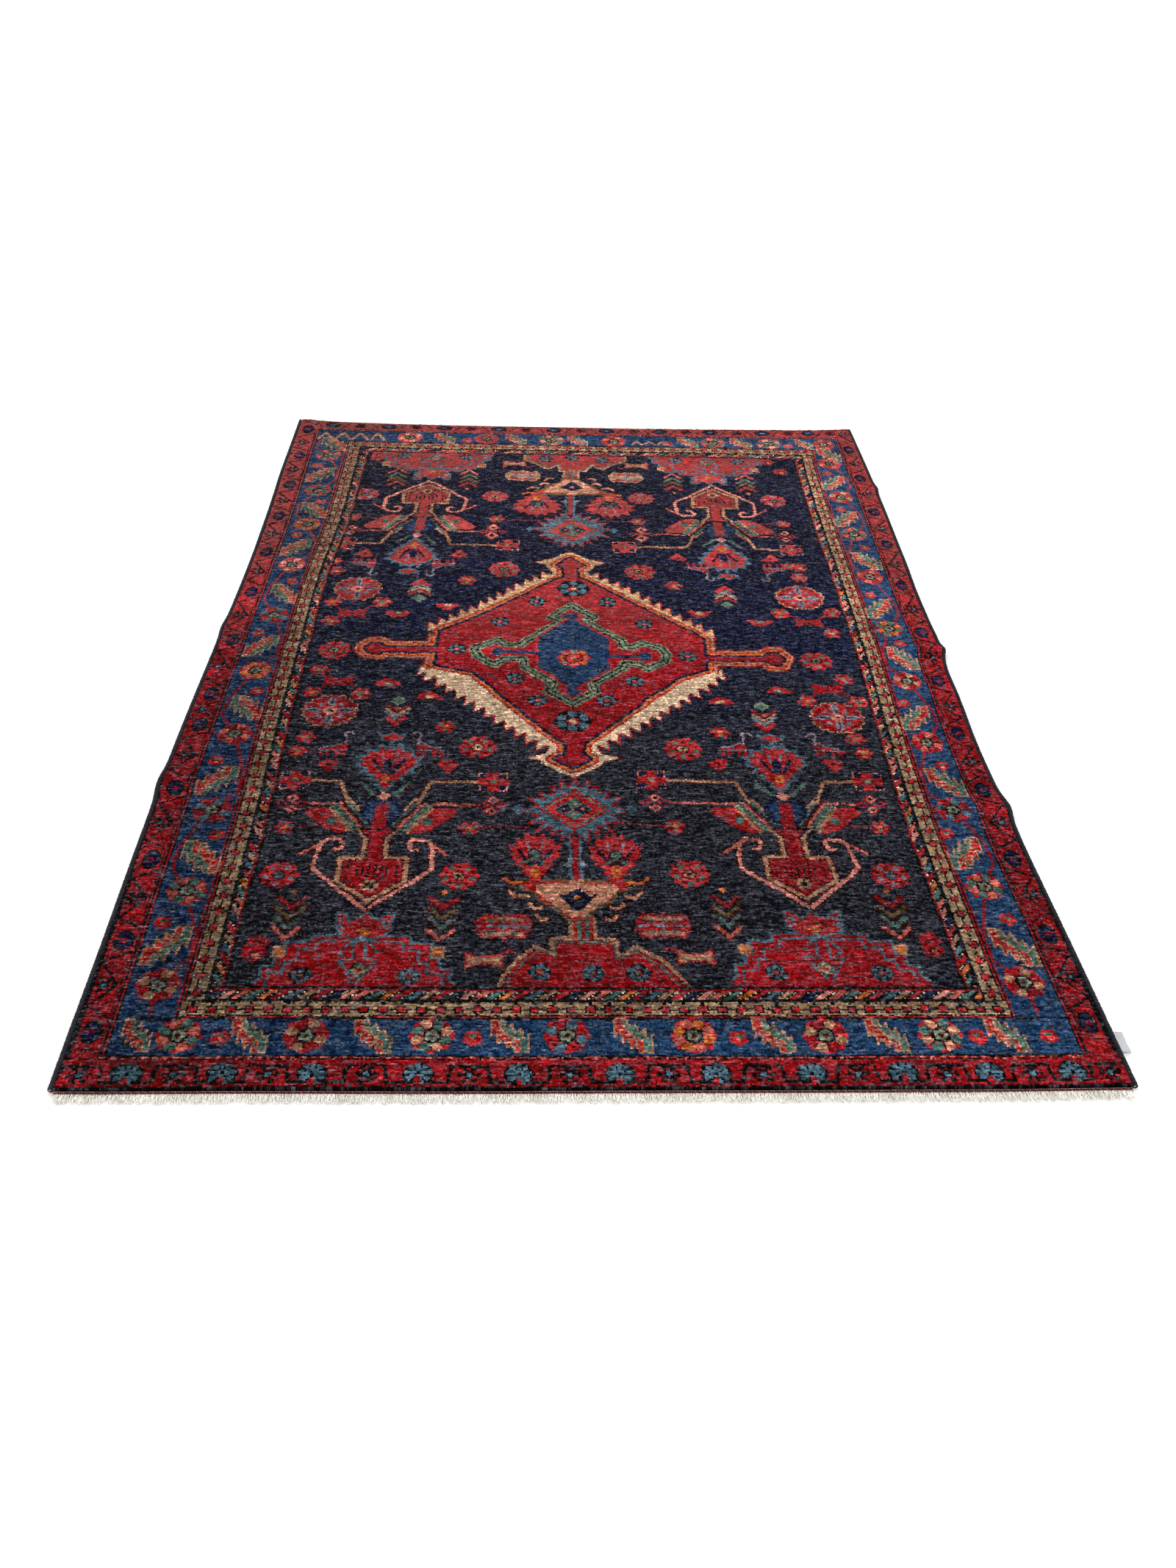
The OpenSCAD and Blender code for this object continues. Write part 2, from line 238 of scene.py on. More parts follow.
def distanceTo(x, y, points):
    far = np.full(x.shape, 1e9)
    for (ax, ay), (bx, by) in zip(points, points[1:]):
        lx, ly = bx - ax, by - ay
        t = np.clip(((x - ax) * lx + (y - ay) * ly) / max(lx * lx + ly * ly, 1e-9), 0, 1)
        far = np.minimum(far, np.hypot(x - ax - t * lx, y - ay - t * ly))
    return far


def line(p, points, width, wool, closed=False, zone=None):
    points = points + points[:1] if closed else points
    part, x, y = under(p, *spanOf(points, width))
    knot(part, distanceTo(x, y, points) <= width / 2, wool, zone)


def edgedLine(p, points, outer, inner, wool):
    # a line of knots with a wine line showing on both sides of it
    line(p, points, outer, "wine")
    line(p, points, inner, wool)


def disc(p, cx, cy, r, wool, ry=None, zone=None):
    ry = ry or r
    part, x, y = under(p, cx - r, cy - ry, cx + r, cy + ry)
    knot(part, ((x - cx) / r) ** 2 + ((y - cy) / ry) ** 2 <= 1, wool, zone)


def block(p, x0, y0, x1, y1, wool, zone=None):
    part, x, y = under(p, x0, y0, x1, y1)
    knot(part, (x >= x0) & (x < x1) & (y >= y0) & (y < y1), wool, zone)


def petals(p, cx, cy, r, count, wool, depth=0.2, phase=0.0):
    # a scalloped round with that many lobes
    part, x, y = under(p, cx - r, cy - r, cx + r, cy + r)
    angle = np.arctan2(y - cy, x - cx) + phase
    rim = r * (1 - depth + depth * np.abs(np.cos(angle * count / 2)))
    knot(part, np.hypot(x - cx, y - cy) <= rim, wool)


def around(cx, cy, r, count, phase=0.0):
    step = 2 * math.pi / count
    return [(cx + r * math.cos(k * step + phase), cy + r * math.sin(k * step + phase)) for k in range(count)]


def both(points):
    # an outline given for its right half, closed with the mirrored left half
    return points + [(-x, y) for x, y in reversed(points) if x > 0]


# ---- small motifs ----


def smallFloret(p, x, y, r, heart="orange", dots="green"):
    petals(p, x, y, r, 6, "brightRed", 0.25)
    for a, b in around(x, y, 0.6 * r, 3, 0.5):
        disc(p, a, b, 0.2 * r, dots)
    for a, b in around(x, y, 0.62 * r, 3, 1.55):
        disc(p, a, b, 0.14 * r, "wine")
    disc(p, x, y, 0.3 * r, heart)


def fieldRosette(p, x, y, r, dots="green", heart="straw"):
    petals(p, x, y, r, 10, "brightRed", 0.16)
    for k, (a, b) in enumerate(around(x, y, 0.66 * r, 10, 0.3)):
        disc(p, a, b, (0.15 if k % 2 else 0.1) * r, dots if k % 2 else "wine")
    petals(p, x, y, 0.36 * r, 6, "wine", 0.2)
    petals(p, x, y, 0.26 * r, 6, heart, 0.2)
    disc(p, x, y, 0.11 * r, "ink")


def darkFloret(p, x, y, r, petal="lightBlue", heart="tan"):
    petals(p, x, y, r, 6, "ink", 0.14)
    for a, b in around(x, y, 0.64 * r, 6, 0.52):
        disc(p, a, b, 0.25 * r, petal)
    disc(p, x, y, 0.3 * r, "brightRed")
    disc(p, x, y, 0.17 * r, heart)


def borderRosette(p, x, y, r, first, second, heart="sage"):
    petals(p, x, y, r, 8, "brightRed", 0.2)
    for k, (a, b) in enumerate(around(x, y, 0.68 * r, 8, 0.39)):
        disc(p, a, b, 0.25 * r, second if k % 2 else first)
    for a, b in around(x, y, 0.8 * r, 8):
        line(p, [(x, y), (a, b)], 2, "wine")
    disc(p, x, y, 0.42 * r, "ink")
    petals(p, x, y, 0.33 * r, 5, heart, 0.3)
    disc(p, x, y, 0.13 * r, "wine")


def bud(p, x, y, r, heart="salmon"):
    petals(p, x, y, r, 5, "brightRed", 0.2, 1.57)
    disc(p, x, y + 0.25 * r, 0.42 * r, "green", 0.22 * r)
    disc(p, x, y - 0.2 * r, 0.22 * r, heart)


def serratedLeaf(p):
    # a saw-edged leaf that climbs from lower left to upper right, red above and green below
    edge = [(-30, -37), (-29, 5), (-20, -4), (-17, 20), (-9, 9), (-3, 29), (5, 19), (7, 38), (31, 38),
            (31, -6), (23, 5),
            (18, -17), (11, -7), (5, -32), (-2, -19), (-9, -38)]
    area(p, edge, "tan")
    area(p, [(-27, -34), (-25, -2), (-17, -8), (-15, 13), (-8, 4), (-1, 22), (6, 14), (10, 34), (17, 34),
             (15, 13), (-2, 0),
             (-14, -16), (-17, -34)], "brightRed")
    for y in range(-30, 34, 9):
        line(p, [(0.42 * y - 14, y), (0.42 * y - 2, y)], 2.4, "peach")
    area(p, [(-15, -34), (-12, -17), (0, -3), (17, 11), (19, 34), (28, 34), (28, 1), (21, 9), (15, -11),
             (9, -2), (2, -25),
             (-4, -15), (-10, -34)], "green")
    line(p, [(2, 4), (14, 26)], 2.6, "sage")
    line(p, [(-12, -24), (-2, -8)], 2.6, "sage")


def chevrons(p):
    for y, wool, edging in ((63, "red", 11), (42, "olive", 11), (22, "green", 11), (0, "salmon", 9)):
        line(p, [(-19, y + 23), (0, y + 3), (19, y + 23)], edging, "wine")
        line(p, [(-18, y + 24), (0, y + 4), (18, y + 24)], 6.5, wool)
    lozenge(p, 0, 100, 5, 6, "orange")


def crossSquare(p, x, y):
    for cx, cy in ((x - 14, y - 14), (x - 14, y + 14), (x + 14, y - 14), (x + 14, y + 14)):
        for w, wool in ((9, "pink"), (7, "navy")):
            block(p, cx - w, cy - w, cx + w, cy + w, wool)
    block(p, x - 24, y - 9, x + 24, y + 9, "brightRed")
    block(p, x - 9, y - 24, x + 9, y + 24, "brightRed")
    block(p, x - 9, y - 2, x + 9, y + 2, "wine")
    disc(p, x, y, 5, "sage")


def diamondCluster(p, x, y, big=False):
    s = 1.35 if big else 1.0
    for dx in (-15 * s, 15 * s):
        lozenge(p, x + dx, y, 11, 9, "red")
        disc(p, x + dx, y, 4, "navy")
    for dy in (-13 * s, 13 * s):
        lozenge(p, x, y + dy, 12 * s, 12 * s, "brightRed")
        lozenge(p, x, y + dy, 9 * s, 9 * s, "pink")
        disc(p, x, y + dy, 4 * s, "wine")


def animal(p):
    # a little beast that looks towards its own right, and back over itself
    area(p, [(-26, -14), (-22, -6), (-4, -3), (12, 8), (20, 8), (20, -14)], "red")
    for x in (-24, -13, 4, 14):
        block(p, x, -29, x + 6, -12, "red")
    line(p, [(-26, -12), (20, -12)], 3, "greyBlue")
    line(p, [(-22, -5), (-4, -2), (12, 9)], 3, "greyBlue")
    edgedLine(p, [(16, 6), (17, 22), (13, 32), (18, 38), (26, 37), (29, 30)], 8, 4, "greyBlue")


def heart(p, x, y):
    area(p, [(x, y - 20), (x + 19, y + 2), (x + 14, y + 10), (x + 8, y + 9), (x + 4, y + 19),
             (x - 4, y + 12),
             (x - 8, y + 16), (x - 18, y + 8)], "brightRed")
    disc(p, x, y + 2, 4, "wine")


def tulip(p, x, y):
    petalEdge = [(-22, 10), (-16, -6), (0, -13), (16, -6), (22, 10), (11, 4), (0, 13), (-11, 4)]
    edge = [(x + a, y + b) for a, b in petalEdge]
    area(p, edge, "brightRed")
    line(p, edge, 3.5, "lightBlue", closed=True)


def carnation(p, x, y, wide=1.0, edging="lightBlue"):
    # a saw-edged bloom on its point, 130 mm tall
    half = [(0, -65), (14, -50), (11, -42), (27, -36), (22, -26), (41, -16), (34, -8), (51, 4), (42, 12),
            (52, 25),
            (36, 28), (38, 43), (22, 40), (16, 58), (6, 46), (0, 62)]
    edge = [(x + a * wide, y + b) for a, b in both(half)]
    area(p, edge, "brightRed")
    if edging:
        line(p, edge, 5.5, edging, closed=True)
    for a in (-1, 1):
        line(p, [(x + a * 9, y - 16), (x + a * 24, y + 16)], 6.5, "navy")
        line(p, [(x + a * 8, y + 10), (x + a * 12, y + 36)], 3, "greyBlue")
    disc(p, x, y - 1, 8, "navy", 20)
    disc(p, x, y - 34, 8, "orange", 11)
    disc(p, x, y - 34, 3, "brightRed")


def largeRosette(p, x, y, r):
    petals(p, x, y, r, 16, "tan", 0.1)
    petals(p, x, y, r - 2.5, 16, "red", 0.12)
    petals(p, x, y, 0.7 * r, 8, "brightRed", 0.2)
    for a, b in around(x, y, 0.78 * r, 16):
        disc(p, a, b, 2.6, "wine")
    for dx, dy in ((1, 0), (0, 1)):
        for s in (-1, 1):
            tip, side = 0.92 * r * s, 0.17 * r
            leaf = [(x + tip * dx, y + tip * dy),
                    (x + tip * 0.62 * dx + side * dy, y + tip * 0.62 * dy + side * dx),
                    (x, y), (x + tip * 0.62 * dx - side * dy, y + tip * 0.62 * dy - side * dx)]
            area(p, leaf, "greyBlue")
            line(p, [(x, y), (x + tip * 0.8 * dx, y + tip * 0.8 * dy)], 3.4, "wine")
    for a, b in around(x, y, 0.5 * r, 4, 0.78):
        disc(p, a, b, 4.5, "greyBlue")
    petals(p, x, y, 0.26 * r, 4, "pink", 0.2)
    disc(p, x, y, 4, "wine")


def leafColumn(p):
    area(p, [(0, 46), (15, 30), (0, 17), (-15, 30)], "sage")
    area(p, [(0, 39), (8, 30), (0, 23), (-8, 30)], "green")
    for y, wool in ((2, "red"), (-10, "tan"), (-20, "greyBlue")):
        line(p, [(-20, y + 16), (0, y - 2), (20, y + 16)], 6, wool)
    area(p, [(-21, -20), (0, -46), (21, -20), (12, -14), (0, -30), (-12, -14)], "brightRed")
    disc(p, 0, 6, 5, "salmon")


def dome(p, heartWool="green"):
    area(p, [(-25, -11), (25, -11), (17, 2), (6, 12), (-6, 12), (-17, 2)], "brightRed")
    disc(p, 0, -4, 8, heartWool, 6)
    disc(p, 0, -4, 3, "straw")


def crown(p):
    half = [(0, 12), (9, 9), (19, 17), (28, 13), (24, 0), (28, -13), (19, -11), (10, -16), (0, -9)]
    area(p, both(half), "red")
    disc(p, 0, 2, 4, "wine")
    for q in mirrored(p):
        line(q, [(20, -12), (36, -28)], 3.5, "red")


# ---- borders ----

borders = {
    "goldPitchEnds": 24.5, "goldPitchSides": 31, "slashPitchEnds": 17.5, "slashPitchSides": 19,
    "slashSlant": {"front": 1.2, "back": -1.2, "side": -1.3}, "sideMiddle": 579.5,
    "endMiddle": {"front": -925, "back": 926},
    "blueFlorets": [-585, -470, -360, -230, -105, 20, 140, 260, 375, 485, 595],
    "ovalsLeft": [-920, -755, -590, -420, -250, -160, 15, 190, 350, 510, 660, 815, 960],
    "ovalsRight": [-905, -740, -577, -410, -255, -95, 70, 250, 425, 575, 745, 900],
    "ovalsBack": [-590, -460, -330, -200, -70, 55, 180, 300, 425, 545],
}
slashWools = ["salmon", "green", "orange", "red", "lightBlue", "tan", "brightRed", "navy", "pink"]


def stripPart(name):
    # a border's knots: s runs along it, t across it and grows towards the rug's edge
    low, high = nodeBox(name)
    i0, i1 = int(round((low[0] + pileX) / cellX)), int(round((high[0] + pileX) / cellX))
    j0, j1 = int(round((low[1] + pileY) / cellY)), int(round((high[1] + pileY) / cellY))
    part = (slice(j0, j1), slice(i0, i1))
    loomZone[part] = zoneOf[name]
    alongEnd = high[0] - low[0] > high[1] - low[1]
    u, v = flatGrid[0][part], flatGrid[1][part]
    s, t = (u, v - (low[1] + high[1]) / 2) if alongEnd else (v, u - (low[0] + high[0]) / 2)
    if name.endswith(("front", "left")):
        t = -t
    half = ((high[1] - low[1]) if alongEnd else (high[0] - low[0])) / 2
    return part, s, t, half, alongEnd


def weaveGoldGuard(name):
    part, s, t, half, alongEnd = stripPart(name)
    pitch = borders["goldPitchEnds"] if alongEnd else borders["goldPitchSides"]
    k = np.abs((s / pitch) % 1 - 0.5) * pitch        # distance from the nearest red square
    knot(part, np.full(s.shape, True), "gold")
    knot(part, (np.abs(t) < 1.4) & (k > 5), "ink")
    knot(part, (np.abs(t) < 6.4) & (k < 6.8), "ink")
    knot(part, (np.abs(t) > 8.2) & (k < 2.4), "ink")
    knot(part, (k < 5) & (np.abs(t) < 4.6), "brightRed")
    knot(part, (t > half - 5) | (t < 2.4 - half), "ink")
    knot(part, t > half - 2.6, "brightRed" if alongEnd else "red")


def weaveSlashGuard(name):
    part, s, t, half, alongEnd = stripPart(name)
    pitch = borders["slashPitchEnds"] if alongEnd else borders["slashPitchSides"]
    knot(part, np.full(s.shape, True), "ink")
    slant = borders["slashSlant"]["side" if not alongEnd else name.split("_")[-1]]
    lean = (s + t * slant) / pitch
    step, phase = np.floor(lean).astype(int), lean % 1
    inside = np.abs(t - 1.5) < half - 5
    for k, wool in enumerate(slashWools):
        knot(part, inside & (phase < 0.56) & (step % len(slashWools) == k), wool)
    knot(part, inside & (np.abs(phase - 0.76) < 0.07) & ((np.abs(t + 2) * 0.2) % 1 < 0.36), "cream")
    knot(part, np.abs(t + half - 5.2) < 1.4, "red")         # red line that closes the field


def weaveDottedLine(name):
    part, s, t, _, alongEnd = stripPart(name)
    knot(part, np.full(s.shape, True), "ink")
    knot(part, np.abs(t) < 1.4, "borderRed")
    knot(part, (np.abs(t) < 1.4) & ((s / 13) % 1 < 0.45), "salmon" if alongEnd else "red")


def weaveOuterEnd(name):
    part, s, t, half, _ = stripPart(name)
    knot(part, np.full(s.shape, True), "borderRed")
    knot(part, t > half - 3.2, "ink")
    knot(part, (t > half - 5.6) & (t <= half - 3.2) & ((s / 9) % 1 < 0.6), "wine")
    sign = -1 if name.endswith("front") else 1
    p = place(0, sign * (pileY - half), 1, -sign, flat=True)     # local y grows towards the rug's middle
    if name.endswith("front"):
        blue = borders["blueFlorets"]
        dark = [blue[0] - 57] + [(a + b) / 2 for a, b in zip(blue, blue[1:])] + [blue[-1] + 50]
        path = []
        for x in dark:
            path += [(x - 27, -12), (x - 23, 14), (x + 23, 14), (x + 27, -12)]
        line(p, path, 4.8, "ink")
        for x in dark:
            petals(p, x, 0, 15, 6, "ink", 0.3)
            for a, b in around(x, 0, 9, 6, 0.5):
                disc(p, a, b, 2.6, "borderRed")
            disc(p, x, 0, 4, "lightBlue")
        for x in blue:
            disc(p, x, 1, 20, "ink", 17)
            for a, b in around(x, 1, 13.5, 9, -1.22)[:8]:
                line(p, [(x, 1), (a, b)], 4.6, "lightBlue")
                disc(p, a, b, 3.6, "lightBlue")
            disc(p, x, -10, 4, "borderRed", 7)
            disc(p, x, 1, 3.2, "ink")
    else:
        for x in borders["ovalsBack"]:
            disc(p, x, 0, 19, "ink", 15)
            disc(p, x, 0, 15, "navy", 11)
            disc(p, x, 0, 6, "lightBlue", 4)
            for s in (1, -1):
                line(p, [(x + 24 * s, 16), (x + 40 * s, -14)], 3, "ink")
            petals(p, x + 64, 0, 15, 6, "wine", 0.3)
            disc(p, x + 64, 0, 5, "ink")


def weaveOuterSide(name):
    part, s, t, half, _ = stripPart(name)
    knot(part, np.full(s.shape, True), "borderRed")
    left = name.endswith("left")
    knot(part, np.abs(t + half - 2) < 1.3, "wine")
    knot(part, t > half - 6 * np.clip((-s - 300) / 600, 0, 1), "ink")   # broader towards the front
    p = place((-1 if left else 1) * (pileX - half), 0, -1 if left else 1, 1, flat=True)
    ovals = borders["ovalsLeft"] if left else borders["ovalsRight"]
    for k, y in enumerate(ovals):
        following = ovals[k + 1] if k + 1 < len(ovals) else y + 160
        middle = (y + following) / 2
        line(p, [(-18, y + 24), (16, y + 44), (-14, middle), (16, following - 40), (-18, following - 22)], 4,
             "ink")
        line(p, [(17, y + 22), (-8, y + 50)], 2.4, "wine")
        disc(p, -2, y, 14, "ink", 20)
        disc(p, -2, y, 10.5, "navy", 16)
        line(p, [(12, y + 3), (-3, y + 3), (-5, y - 3), (3, y - 4)], 2.8, "borderRed")
        petals(p, 4, middle, 15, 6, "ink", 0.35)
        for a, b in around(4, middle, 9, 5, 0.5):
            disc(p, a, b, 3, "borderRed")
        disc(p, 4, middle, 3.5, "lightBlue")
    speckle = softNoise(s.shape, (3, 4), 21 if left else 22)
    bands = softNoise(s.shape, (30, 18), 23 if left else 24)
    knot(part, (speckle > 1.1) & (bands > 0.2), "wine")


# each border's motifs in order, from left to right or from front to back
mainMotifs = {
    "front": [("leaf", -588), ("rosette", -535, "salmon", "green"), ("bud", -483), ("leaf", -447),
              ("rosette", -375, "red", "tan"), ("leaf", -292), ("rosette", -217, "peach", "green"),
              ("bud", -165),
              ("leaf", -118), ("rosette", -45, "red", "lightBlue"), ("leaf", 40),
              ("rosette", 118, "salmon", "orange"),
              ("bud", 175), ("leaf", 220), ("rosette", 288, "red", "tan"), ("leaf", 367),
              ("rosette", 437, "peach", "green"), ("bud", 485), ("leaf", 525), ("bud", 583)],
    "back": [("rosette", -405, "pink", "salmon"), ("leaf", -325), ("bud", -272),
             ("rosette", -227, "red", "brightRed"),
             ("leaf", -160), ("rosette", -75, "peach", "green"), ("leaf", -15),
             ("rosette", 70, "red", "salmon"),
             ("bud", 198), ("leaf", 245), ("rosette", 305, "salmon", "green"), ("leaf", 370),
             ("rosette", 437, "pink", "green"), ("bud", 482), ("leaf", 525),
             ("rosette", 580, "salmon", "red")],
    # on the sides a leaf that leans right has 1, one that leans left -1
    "left": [("rosette", -838, "red", "tan"), ("leaf", -765, 1), ("bud", -720, -20),
             ("rosette", -655, "salmon", "green"),
             ("leaf", -583, -1), ("bud", -533, 18), ("rosette", -473, "red", "lightBlue"), ("leaf", -400, 1),
             ("bud", -350, -16), ("rosette", -275, "red", "salmon"), ("leaf", -200, -1), ("bud", -150, 14),
             ("rosette", -85, "orange", "salmon"), ("leaf", -5, 1), ("bud", 40, -16),
             ("rosette", 105, "red", "lightBlue"),
             ("leaf", 185, -1), ("bud", 235, 14), ("rosette", 300, "salmon", "pink"), ("leaf", 372, 1),
             ("bud", 425, -14), ("rosette", 475, "orange", "tan"), ("leaf", 540, -1), ("bud", 580, 14),
             ("rosette", 635, "red", "green"), ("leaf", 715, 1), ("bud", 762, -18),
             ("rosette", 820, "salmon", "lightBlue"),
             ("leaf", 880, -1)],
    "right": [("rosette", -832, "red", "tan"), ("leaf", -765, -1), ("bud", -710, 14),
              ("rosette", -640, "salmon", "green"),
              ("leaf", -565, 1), ("bud", -520, -26), ("rosette", -462, "red", "lightBlue"),
              ("leaf", -390, -1),
              ("bud", -345, 12), ("rosette", -280, "red", "salmon"), ("leaf", -210, 1), ("bud", -165, -20),
              ("rosette", -95, "red", "tan"), ("leaf", -20, -1), ("bud", 30, 10),
              ("rosette", 85, "orange", "green"),
              ("leaf", 160, 1), ("bud", 212, -14), ("rosette", 285, "red", "salmon"), ("leaf", 350, -1),
              ("bud", 410, 12), ("rosette", 470, "salmon", "green"), ("leaf", 540, 1), ("bud", 585, -12),
              ("rosette", 645, "red", "tan"), ("leaf", 718, 1), ("bud", 768, -14),
              ("rosette", 820, "salmon", "red"),
              ("leaf", 870, -1)],
}


def weaveMainEnd(name):
    part, s, t, half, _ = stripPart(name)
    knot(part, np.full(s.shape, True), "blue")
    knot(part, t < 2.6 - half, "ink")
    front = name.endswith("front")
    middle = borders["endMiddle"]["front" if front else "back"]
    for motif in mainMotifs["front" if front else "back"]:
        x = motif[1]
        p = place(x, middle, flat=True)
        if motif[0] == "rosette":
            borderRosette(p, 0, 0, 30, motif[2], motif[3])
        elif motif[0] == "bud":
            bud(p, 0, -4 if front else -12, 13)
        else:
            wide, tall = (1.5, 1.35) if abs(x) > 580 else (1.2, 1.3)
            serratedLeaf(place(x, middle, wide, -tall, flat=True))
    if not front:
        # gold figures knotted into the left corner and the middle, kept to plain zigzags
        for places, low, tall, thick in (
            (((-600, 22), (-560, 22), (-520, 22), (-480, 20)), 0, 18, 8),
            (((125, 14), (155, 14), (182, 10)), 8, 8, 5.5),
        ):
            for x, w in places:
                line(place(x, middle - low, flat=True), [(-w * 0.8, -tall), (0, tall), (w * 0.8, -tall)],
                     thick, "tan")


def weaveMainSide(name):
    part, s, t, half, _ = stripPart(name)
    knot(part, np.full(s.shape, True), "blue")
    knot(part, t < 2.6 - half, "ink")
    knot(part, (t >= 2.6 - half) & (t < 5.2 - half), "borderRed")
    left = name.endswith("left")
    x0 = (-1 if left else 1) * borders["sideMiddle"]
    motifs = mainMotifs["left" if left else "right"]
    vine = [(x0, -890)]
    for motif in motifs:
        if motif[0] == "leaf":
            vine += [(x0 + 31 * motif[2], motif[1] - 24), (x0 + 31 * motif[2], motif[1] + 24)]
        elif motif[0] == "rosette":
            vine.append((x0, motif[1]))
    line(place(0, 0, flat=True), vine, 4.6, "borderRed")
    for motif in motifs:
        p = place(x0, motif[1], flat=True)
        if motif[0] == "rosette":
            borderRosette(p, 0, 0, 30, motif[2], motif[3])
        elif motif[0] == "bud":
            bud(p, motif[2], 0, 13)
        else:
            serratedLeaf(place(x0 - 6 * motif[2], motif[1], motif[2] if left else -motif[2],
                               1 if left else -1, flat=True))


# ---- field ----

here = place(0, 0)
loomWool[np.abs(gridU) < fieldX - 1] = np.where(
    (np.abs(gridV) < 841)[np.abs(gridU) < fieldX - 1], woolOf["fieldNavy"],
    loomWool[np.abs(gridU) < fieldX - 1])
medallionMid = nodeBox("medallion_centre")
midX = (medallionMid[0][0] + medallionMid[1][0]) / 2
midY = (medallionMid[0][1] + medallionMid[1][1]) / 2
for name, part in (
    ("field_front_left", (gridU < midX) & (gridV < midY)),
    ("field_front_right", (gridU >= midX) & (gridV < midY)),
    ("field_back_left", (gridU < midX) & (gridV >= midY)),
    ("field_back_right", (gridU >= midX) & (gridV >= midY)),
):
    low, high = nodeBox(name)
    inField = (np.abs(gridU) < fieldX) & (np.abs(gridV) < max(abs(low[1]), abs(high[1])))
    loomZone[part & inField] = zoneOf[name]


def cornerMound(p, zone):
    half = [(134, -12), (134, 8), (127, 16), (127, 37), (112, 37), (112, 56), (100, 56), (100, 83), (68, 83),
            (68, 97)]
    area(p, both(half), "red", zone)
    inner = [(119, 4), (117, 26), (96, 26), (96, 46), (83, 46), (83, 70), (60, 70), (58, 86)]
    line(p, both(half)[1:-1], 4.5, "lightBlue")
    line(p, [(-x, y) for x, y in inner] + list(reversed(inner)), 3.6, "lightBlue")
    for q in mirrored(p):
        line(q, [(8, 104), (8, 52), (26, 50), (3, 6)], 3.4, "lightBlue")
        line(q, [(8, 88), (14, 80), (26, 64), (20, 58)], 3, "lightBlue")
        block(q, 100, 56, 118, 76, "tan")
        block(q, 104, 60, 114, 71, "orange")
        darkFloret(q, 72, 21, 16, heart="green")
    for r, wool in ((18, "wine"), (16, "green"), (11, "tan"), (6, "red")):
        lozenge(p, 3, 30, r, r, wool)
    lobes = [(-38, 143), (-38, 112), (-28, 98), (-10, 90), (14, 90), (32, 98), (42, 112), (42, 143),
             (28, 140),
             (22, 127), (13, 132), (4, 146), (-6, 132), (-16, 127), (-24, 140)]
    area(p, lobes, "brightRed")
    line(p, lobes, 4, "lightBlue", closed=True)
    for x in (-32, 30):
        line(p, [(x, 112), (x + 6, 112), (x + 6, 130), (x, 130)], 3, "greyBlue", closed=True)
    disc(p, 3, 105, 8, "orange", 7)
    disc(p, 3, 92, 5, "greyBlue", 6)


def anchorAndShield(p):
    for q in mirrored(p):
        hook = [(1, 150), (88, 236), (84, 290), (74, 300), (54, 300), (50, 290), (54, 278), (62, 278)]
        line(q, hook, 10.5, "wine")
        edgedLine(q, [(109, 267), (86, 289)], 8, 5, "salmon")
        line(q, hook, 6.5, "pink")
    shield = [(17, 303), (17, 260), (49, 260), (49, 210), (0, 168)]
    area(p, [(-49, 260), (49, 260), (49, 210), (0, 168), (-49, 210)], "red")
    edgedLine(p, [(-x, y) for x, y in shield[:-1]] + list(reversed(shield)), 11.5, 6.5, "tan")
    for q in mirrored(p):
        line(q, [(5, 243), (5, 214)], 2.8, "ink")
        line(q, [(13, 243), (13, 224), (5, 216)], 2.8, "ink")
        line(q, [(22, 240), (22, 222), (10, 208)], 2.8, "ink")
        line(q, [(36, 250), (36, 214), (14, 192)], 2.6, "wine")
    petals(p, 0, 200, 14, 6, "ink", 0.3)
    for a, b in around(0, 200, 9, 6):
        disc(p, a, b, 4, "tan")
    area(p, [(-10, 248), (10, 248), (10, 308), (24, 322), (-24, 322), (-10, 308)], "red")
    for q in mirrored(p):
        line(q, [(17, 300), (17, 304), (36, 330)], 5, "tan")


def leavesAndStems(p, innerSquare):
    for q in mirrored(p):
        area(q, [(119, 365), (109, 377), (79, 375), (46, 340), (42, 320), (59, 314), (79, 322), (101, 345)],
             "brightRed")
        disc(q, 74, 343, 7, "green", 9)
        for k, wool in enumerate(("tan", "sage", "green", "salmon", "wine", "green", "tan")):
            dx, dy = 13 - 5 * k, 10 - 4 * k
            line(q, [(32 + dx, 328 - dy), (68 + dx * 0.9, 386 - dy)], 5, wool)
    disc(p, 0, 368, 34, "navy", 33)
    disc(p, 0, 368, 26, "blue", 26)
    block(p, -10, 318, 10, 388, "red")
    line(p, [(-26, 324), (26, 324)], 4, "ink")
    outer, inner = -144, innerSquare
    edgedLine(p, [(-54, 390), (-70, 441), (outer + 24, 444)], 9, 6, "tan")
    edgedLine(p, [(56, 390), (72, 441), (inner - 24, 444)], 9, 6, "tan")
    line(p, [(-72, 386), (outer + 28, 386)], 4, "salmon")
    line(p, [(76, 386), (inner - 28, 386)], 5, "salmon")
    for x in (outer, inner):
        crossSquare(p, x, 444)


